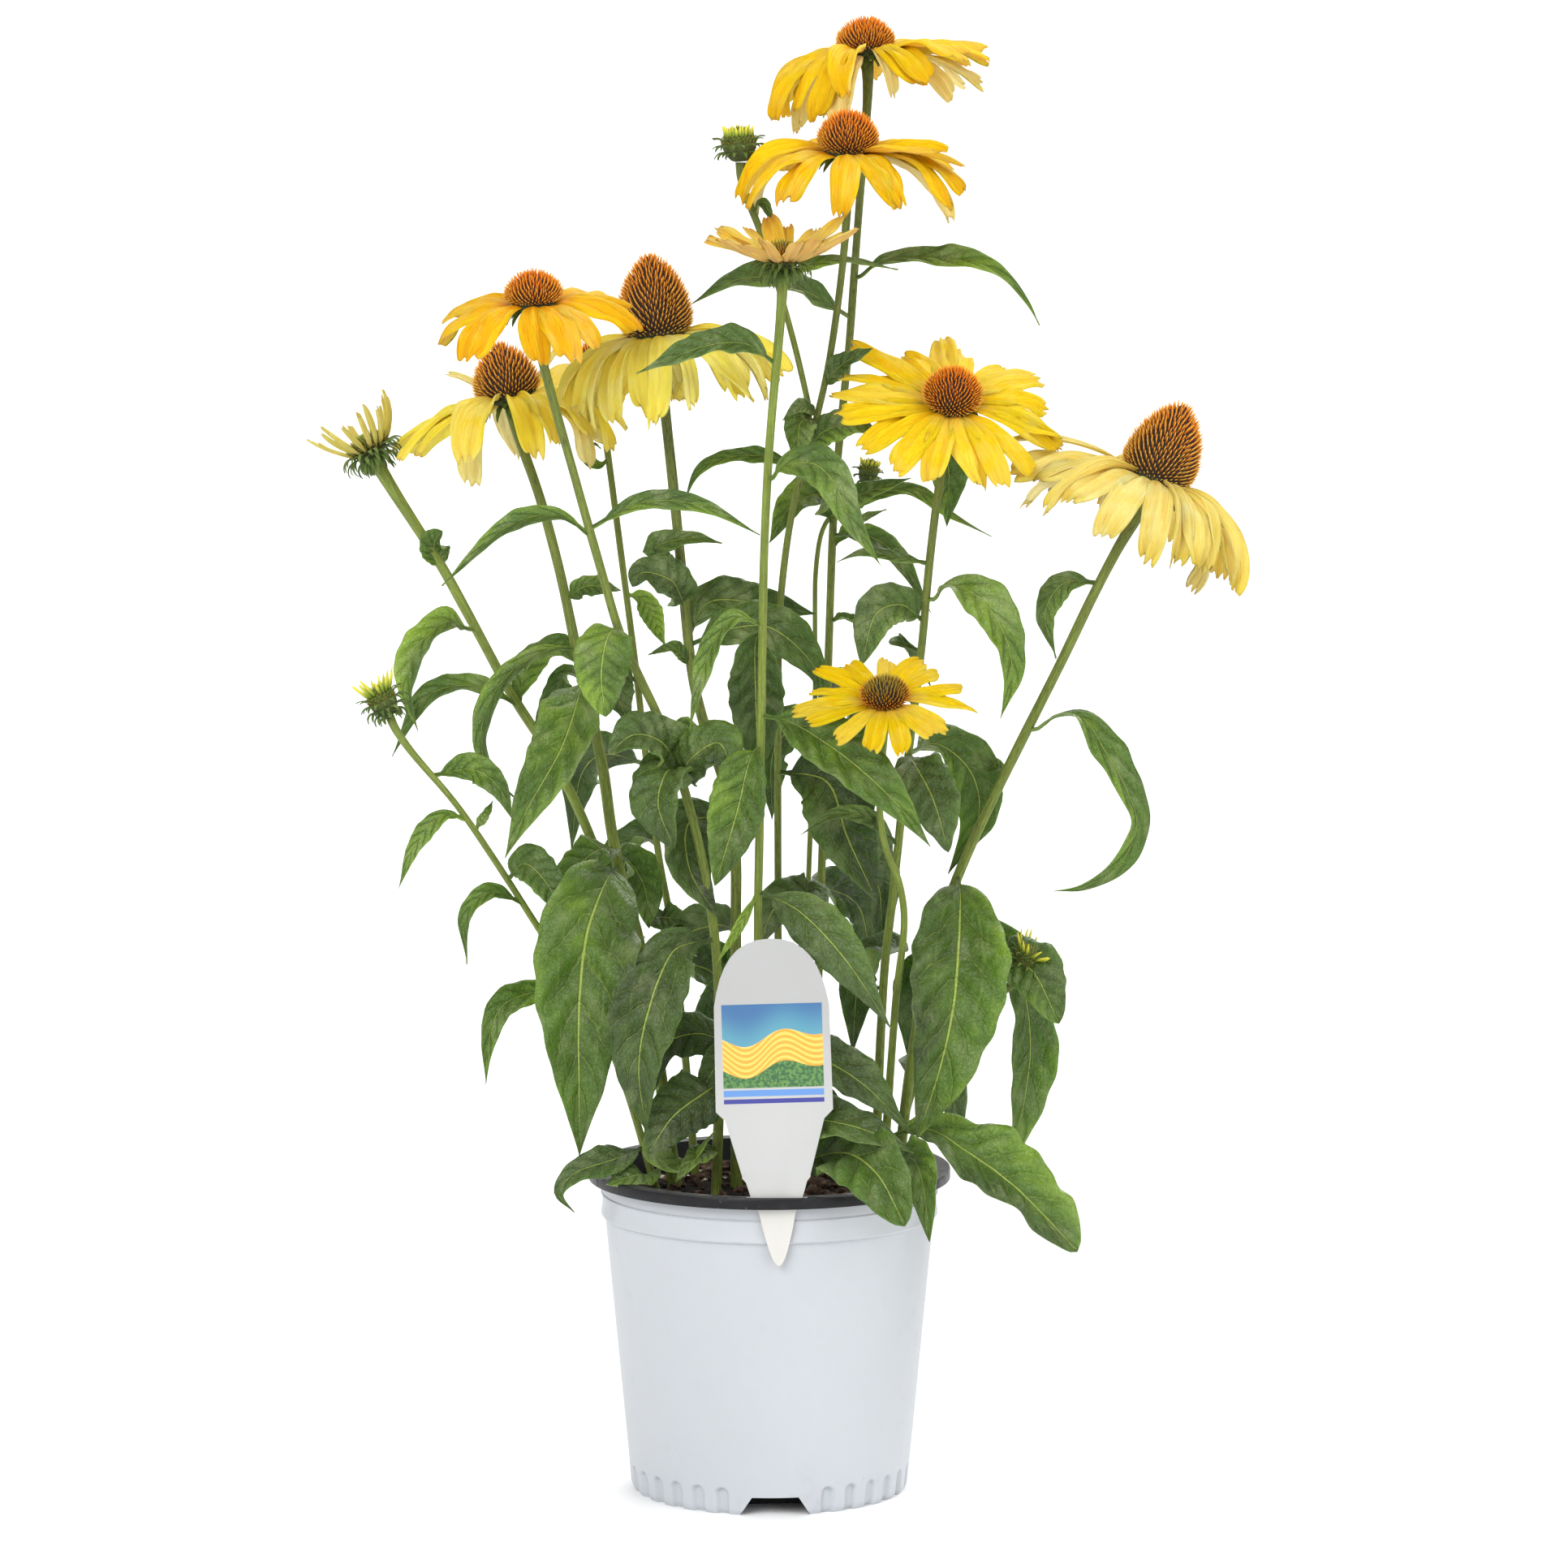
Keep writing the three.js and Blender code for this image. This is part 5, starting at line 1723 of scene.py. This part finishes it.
def leaf_lines(node):
    """The middle line, the upward directions and the greatest width of a leaf of the frame."""
    levels = rings_of(node, LEAF_SIDES)
    centres = [level.mean(axis=0) for level in levels]
    if np.linalg.norm(centres[1] - centres[0]) > np.linalg.norm(centres[-1] - centres[-2]):
        levels.reverse()
    rings = [widest_first(ring) for ring in levels[1:-1]]
    middle = len(rings) // 2
    for order in (range(middle + 1, len(rings)), range(middle - 1, -1, -1)):
        for i in order:
            known = rings[i - 1 if i > middle else i + 1]
            rings[i] = matched(rings[i], known)
    line = [levels[0][0], *[(ring[2] + ring[3]) / 2 for ring in rings[1:]], levels[-1][0]]
    upper = [unit(ring[2] - ring[3]) for ring in rings]
    width = max(np.linalg.norm(ring[0] - ring[1]) for ring in rings)
    stems = [stem_of(name) for name in STEM_TONES]
    root = min((stem.nearest(line[0]) for stem in stems), key=lambda point: np.linalg.norm(point - line[0]))
    return Route([root, *line]), upper, width


def widest_first(ring):
    """A leaf's ring as its two edges, its top and its bottom."""
    pairs = [((0, i), tuple(k for k in (1, 2, 3) if k != i)) for i in (1, 2, 3)]

    def gap(pair):
        return np.linalg.norm(ring[pair[0]] - ring[pair[1]])

    edges = max((pair for both in pairs for pair in both), key=gap)
    others = [k for k in range(LEAF_SIDES) if k not in edges]
    between = (ring[edges[0]] + ring[edges[1]]) / 2
    top, bottom = sorted(others, key=lambda k: np.linalg.norm(ring[k] - between))
    return ring[[*edges, top, bottom]]


def matched(ring, known):
    """A ring's points in the order of its neighbour's: edge, other edge, top and bottom."""
    across, through = unit(known[0] - known[1]), unit(known[2] - known[3])

    def likeness(order):
        edge, other, top, bottom = ring[list(order)]
        return np.dot(unit(edge - other), across) + np.dot(unit(top - bottom), through)

    return ring[list(max(itertools.permutations(range(LEAF_SIDES)), key=likeness))]


SMALL_LEAF_FULLNESS = 1.3  # a small leaf's width as a share of the one in the table

# Their brightness paints light and shade as well as their own colour.
# The smaller leaves: the stem, the height where they leave it, the width, how bright they are, and the
# places that the middle of the leaf runs through on its way to the tip
SMALL_LEAVES = (
    ("flower_1", 529, 14, 0.3, ((25, 44, 538), (4, 30, 549), (-16, 18, 549), (-35, 8, 539))),
    ("bud_1", 549, 5, 0.4, ((14, 0, 555), (30, 8, 559), (58, 18, 554))),
    ("bud_1", 580, 4, 0.3, ((-3, -10, 585), (3, -12, 572))),
    ("flower_2", 503, 9, 0.15, ((32, -20, 513), (46, -24, 521))),
    ("flower_2", 490, 6, 0.3, ((14, -20, 495), (6, -24, 489))),
    ("flower_2", 489, 12, 0.25, ((14, -24, 488), (13, -30, 480), (15, -32, 469))),
    ("flower_2", 473, 12, 0.35, ((24, -14, 483), (37, -18, 487), (50, -22, 482))),
    ("flower_2", 464, 7, 0.25, ((1, -8, 471), (-21, -12, 471), (-32, -16, 465), (-38, -18, 452))),
    ("flower_1", 438, 15, 0.35, ((23, 30, 451), (10, 20, 447), (0, 12, 431))),
    ("flower_1", 442, 9, 0.35, ((41, 30, 451), (52, 22, 456), (64, 18, 460))),
    ("flower_1", 429, 6, 0.6, ((39, 36, 438), (53, 28, 445))),
    ("bud_4", 437, 6, 0.4, ((51, 56, 450), (67, 44, 452), (80, 38, 443), (101, 34, 432))),
    ("flower_8", 485, 17, 0.4, ((73, -10, 482), (80, 0, 468), (80, 6, 439))),
    ("flower_1", 434, 9, 0.3, ((45, 24, 433), (58, 10, 425), (73, 4, 400))),
    ("flower_8", 424, 5, 0.3, ((55, -30, 429), (41, -36, 431), (30, -38, 427))),
    ("flower_8", 400, 17, 0.3, ((59, -30, 407), (48, -36, 404), (41, -40, 381))),
    ("flower_8", 386, 6, 0.25, ((57, -8, 389), (66, 6, 380), (74, 12, 364))),
    ("flower_1", 392, 5, 0.35, ((36, 30, 395), (43, 26, 391))),
    ("flower_4", 389, 17, 0.1, ((-28, -2, 405), (-7, 4, 405), (21, 10, 399))),
    ("flower_4", 385, 19, 0.12, ((-16, -14, 395), (1, -14, 395), (22, -10, 374), (23, -8, 359))),
    ("flower_3", 402, 9, 0.5, ((-15, -66, 405), (-24, -70, 395), (-32, -74, 370), (-35, -74, 356))),
    ("flower_5", 335, 19, 0.2, ((-48, -50, 348), (-60, -58, 352), (-71, -62, 344))),
    ("flower_5", 329, 20, 0.22, ((-35, -50, 340), (-22, -56, 348), (-16, -60, 333))),
    ("flower_5", 328, 21, 0.2, ((-45, -52, 335), (-49, -60, 322), (-42, -62, 302))),
    ("flower_5", 352, 9, 0.3, ((-37, -30, 353), (-40, -26, 332), (-46, -24, 310))),
    ("flower_5", 398, 20, 0.4, ((-71, -58, 396), (-74, -64, 380), (-72, -66, 361))),
    ("flower_7", 363, 11, 0.15, ((-68, 62, 366), (-69, 58, 354), (-61, 54, 340))),
    ("flower_11", 356, 10, 0.45, ((-128, 10, 365), (-142, 4, 367), (-155, -2, 362), (-170, -6, 336))),
    ("flower_11", 357, 13, 0.4, ((-110, 20, 373), (-95, 26, 383), (-83, 30, 371))),
    (
        "flower_6", 382, 9, 0.35,
        ((-104, 6, 382), (-123, 0, 366), (-130, -4, 342), (-123, -8, 326), (-111, -10, 315)),
    ),
    ("flower_6", 369, 10, 0.25, ((-92, 28, 370), (-102, 34, 351), (-110, 38, 334))),
    ("bud_2", 332, 12, 0.5, ((-132, -30, 333), (-121, -34, 326), (-114, -38, 311))),
    ("bud_2", 312, 7, 0.55, ((-145, -40, 314), (-157, -46, 302), (-165, -50, 282))),
    ("bud_2", 307, 4, 0.5, ((-126, -26, 314), (-124, -22, 318))),
    ("bud_2", 282, 15, 0.45, ((-110, -26, 290), (-100, -34, 283), (-93, -38, 269))),
    ("bud_2", 272, 7, 0.5, ((-125, -30, 278), (-136, -38, 268), (-135, -42, 247))),
    ("bud_2", 233, 11, 0.55, ((-103, -22, 232), (-120, -30, 226), (-126, -36, 210), (-127, -38, 192))),
    ("flower_6", 293, 16, 0.4, ((-78, -6, 293), (-89, -12, 284), (-94, -16, 270))),
    ("flower_6", 291, 16, 0.5, ((-64, 20, 285), (-57, 26, 272), (-55, 28, 253))),
    ("flower_6", 254, 14, 0.75, ((-65, -10, 251), (-68, -14, 238), (-66, -16, 220))),
    ("flower_7", 256, 12, 0.25, ((-50, 36, 257), (-37, 30, 257))),
    ("flower_4", 308, 20, 0.08, ((-36, -22, 308), (-36, -30, 289), (-23, -34, 267))),
    ("flower_3", 345, 22, 0.4, ((-8, -62, 342), (-14, -66, 319), (-24, -68, 286))),
    ("flower_8", 297, 7, 0.45, ((45, -22, 310), (30, -28, 313), (14, -32, 304))),
    ("flower_2", 328, 27, 0.08, ((26, -10, 325), (35, -16, 301), (48, -20, 273))),
    ("flower_8", 340, 20, 0.3, ((66, -30, 334), (73, -36, 321), (80, -38, 297))),
    ("flower_8", 338, 21, 0.4, ((76, 0, 341), (91, 6, 328), (95, 8, 308), (81, 6, 281))),
    ("flower_9", 415, 10, 0.3, ((132, -20, 416), (123, -26, 403), (128, -30, 383))),
    ("flower_9", 330, 6, 0.4, ((98, 8, 332), (95, 14, 335))),
    ("flower_3", 183, 21, 0.35, ((14, -60, 181), (40, -72, 178), (64, -78, 168))),
    ("flower_3", 209, 20, 0.2, ((19, -50, 207), (41, -52, 195), (64, -50, 171))),
    ("flower_3", 189, 6, 0.75, ((26, -52, 191), (35, -58, 179))),
    ("flower_9", 165, 9, 0.4, ((78, -10, 169), (92, -20, 161))),
    ("flower_3", 280, 19, 0.3, ((13, -62, 274), (33, -74, 255), (54, -80, 224))),
    ("flower_2", 269, 18, 0.1, ((19, -6, 272), (4, -14, 270), (-5, -20, 252))),
    ("flower_6", 167, 10, 0.75, ((-51, -30, 158), (-39, -38, 154), (-24, -44, 172))),
    ("bud_2", 158, 12, 0.3, ((-70, -40, 158), (-88, -50, 153), (-94, -54, 145), (-87, -56, 137))),
    ("bud_2", 146, 12, 0.6, ((-59, -40, 151), (-73, -46, 148))),
    ("flower_5", 159, 9, 0.6, ((-34, -44, 158), (-42, -52, 150))),
    ("flower_5", 193, 22, 0.1, ((-28, -40, 189), (-43, -48, 179), (-54, -52, 163))),
    ("flower_4", 200, 14, 0.12, ((-23, -30, 200), (-31, -36, 187))),
    ("flower_4", 204, 17, 0.1, ((-32, -20, 212), (-48, -26, 207), (-52, -30, 187))),
    ("flower_5", 442, 8, 0.35, ((-56, -56, 455), (-31, -58, 454), (-4, -60, 441))),
    ("flower_5", 440, 8, 0.35, ((-92, -56, 449), (-113, -62, 446), (-144, -66, 419))),
    ("flower_11", 419, 11, 0.25, ((-152, 24, 429), (-148, 18, 436))),
    ("flower_4", 423, 10, 0.12, ((-51, -16, 431), (-35, -20, 436), (-21, -22, 434))),
    ("flower_4", 403, 16, 0.15, ((-44, -20, 417), (-57, -26, 421), (-61, -28, 415))),
    ("flower_6", 403, 9, 0.25, ((-83, 16, 411), (-67, 8, 410))),
    ("flower_7", 401, 9, 0.65, ((-59, 80, 399), (-48, 74, 378))),
    (
        "flower_7", 463, 5, 0.5,
        ((-79, 90, 460), (-83, 89, 462), (-84, 89, 467), (-81, 89, 470), (-78, 90, 468)),
    ),
    ("bud_3", 239, 22, 0.4, ((104, 4, 243), (118, -4, 239), (131, -10, 215))),
    ("flower_3", 280, 4, 0.8, ((-13, -50, 266), (-24, -54, 248))),
    ("flower_4", 376, 6, 0.25, ((-43, -16, 386), (-54, -22, 384))),
    ("flower_1", 358, 18, 0.1, ((34, 60, 359), (44, 70, 347), (46, 76, 320))),
    ("flower_1", 284, 22, 0.1, ((38, 60, 284), (50, 74, 267), (52, 80, 232))),
    ("flower_2", 224, 22, 0.05, ((-7, 30, 224), (-22, 46, 214), (-29, 54, 179))),
    ("flower_7", 285, 19, 0.1, ((-56, 70, 288), (-67, 84, 277), (-69, 90, 238))),
    ("flower_7", 325, 18, 0.15, ((-77, 84, 326), (-88, 100, 315), (-93, 106, 278))),
    ("flower_7", 230, 22, 0.08, ((-44, 60, 231), (-26, 78, 224), (-18, 86, 185))),
    ("flower_8", 245, 19, 0.1, ((53, 20, 244), (42, 34, 231), (38, 40, 192))),
    ("flower_9", 235, 20, 0.2, ((75, 30, 235), (68, 44, 222), (64, 50, 187))),
    ("bud_4", 341, 18, 0.12, ((14, 74, 342), (2, 86, 328), (1, 90, 295))),
    ("bud_4", 266, 20, 0.1, ((27, 72, 265), (42, 90, 253), (48, 96, 214))),
    ("flower_4", 256, 19, 0.08, ((-25, 16, 256), (-40, 30, 247), (-44, 34, 212))),
    ("bud_3", 184, 17, 0.15, ((68, 50, 183), (83, 66, 173), (89, 70, 141))),
    ("flower_1", 199, 19, 0.1, ((16, 50, 198), (1, 66, 188), (-5, 70, 149))),
)


class CONEFLOWER_OT_small_leaves(Operator):
    """Add the smaller leaves, those of one stem in one piece"""

    bl_idname = "coneflower.small_leaves"
    bl_label = "Small leaves"

    def execute(self, context):
        template = strip(across=10, along=36)
        finish = leaf_finish(settings().plant)
        random = np.random.RandomState(5)
        for name in STEM_TONES:
            shapes, tones = [], []
            for number, (stem, height, width, tone, places) in enumerate(SMALL_LEAVES):
                if stem != name:
                    continue
                root = stem_of(name).at_height(height * MM)
                route = Route([root, *np.array(places) * MM])
                upper = [(random.uniform(-0.4, 0.4), random.uniform(-1.2, -0.6), 0.6) for _ in range(3)]
                fold, wavy = random.uniform(0.25, 0.6), random.uniform(1, 1.9)
                wide = SMALL_LEAF_FULLNESS * width * MM
                shapes.append(leaf_shape(template, route, upper, wide, 50 + number, fold, wavy))
                tones.append(tone)
            if shapes:
                piece = strips(name + "_small_leaves", template, shapes, tones)
                finish_piece(piece, [finish], "leaf_green")
        return {"FINISHED"}


# Stage

LIGHTS_AIM = Vector((0, 0, 0.35))  # the middle of the plant


class CONEFLOWER_OT_stage(Operator):
    """Set up the pale floor, the soft lights and the camera"""

    bl_idname = "coneflower.stage"
    bl_label = "Stage"

    def execute(self, context):
        stage = settings().stage
        floor = primitive("plane", size=stage.floor_size)
        floor.name = "floor"
        with editing(floor):
            bpy.ops.mesh.extrude_edges_indiv()
            bpy.ops.transform.translate(value=(0, 0, stage.floor_edge))
        finish = Finish("floor", roughness=0.9, Specular_IOR_Level=0.1)
        finish.surface(Base_Color=linear(250, 250, 250))
        floor.data.materials.append(finish.material)
        add_camera(stage)
        world = bpy.data.worlds.new("white_room")
        world.use_nodes = True
        background = world.node_tree.nodes["Background"]
        background.inputs["Color"].default_value = (1, 1, 1, 1)
        background.inputs["Strength"].default_value = stage.daylight
        bpy.context.scene.world = world
        add_light("key_light", (-1.2, -2.5, 2.3), 34, stage.key)
        add_light("fill_light", (2.4, -1.8, 2.2), 50, stage.fill)
        add_light("back_light", (0.8, 2.4, 3), 45, stage.back)
        bpy.context.scene.view_settings.view_transform = "Standard"
        return {"FINISHED"}


def add_camera(stage):
    data = bpy.data.cameras.new("camera")
    data.lens = stage.lens
    data.sensor_width = 36
    camera = add_object("camera", data)
    camera.location = (stage.camera_offset, -stage.camera_distance, stage.camera_height)
    camera.rotation_euler = (math.pi / 2 - stage.camera_pitch, 0, 0)
    bpy.context.scene.camera = camera


def add_light(name, place, spread, power):
    """A lamp that fills so many degrees of the room, seen from the plant."""
    data = bpy.data.lights.new(name, "SUN")
    data.angle = math.radians(spread)
    data.energy = power
    light = add_object(name, data)
    light.location = place
    aim = LIGHTS_AIM - light.location
    light.rotation_euler = aim.to_track_quat("-Z", "Y").to_euler()


STEPS = (
    "pot",
    "potting_mix",
    "tag",
    "stems",
    "cones",
    "rays",
    "bracts",
    "buds",
    "leaves",
    "small_leaves",
    "stage",
)


class CONEFLOWER_PT_panel(Panel):
    """Lists the pieces that can be built"""

    bl_label = "Coneflower"
    bl_idname = "CONEFLOWER_PT_panel"
    bl_space_type = "VIEW_3D"
    bl_region_type = "UI"
    bl_category = "Coneflower"

    def draw(self, context):
        for step in STEPS:
            self.layout.operator("coneflower." + step)


CLASSES = (
    PotSettings,
    SoilSettings,
    PlantSettings,
    StageSettings,
    ConeflowerSettings,
    CONEFLOWER_OT_pot,
    CONEFLOWER_OT_potting_mix,
    CONEFLOWER_OT_tag,
    CONEFLOWER_OT_stems,
    CONEFLOWER_OT_cones,
    CONEFLOWER_OT_rays,
    CONEFLOWER_OT_bracts,
    CONEFLOWER_OT_buds,
    CONEFLOWER_OT_leaves,
    CONEFLOWER_OT_small_leaves,
    CONEFLOWER_OT_stage,
    CONEFLOWER_PT_panel,
)


def register():
    for cls in CLASSES:
        bpy.utils.register_class(cls)
    bpy.types.Scene.coneflower = PointerProperty(type=ConeflowerSettings)


def unregister():
    del bpy.types.Scene.coneflower
    for cls in reversed(CLASSES):
        bpy.utils.unregister_class(cls)


def main():
    register()
    for step in STEPS:
        getattr(bpy.ops.coneflower, step)()


if __name__ == "__main__":
    main()
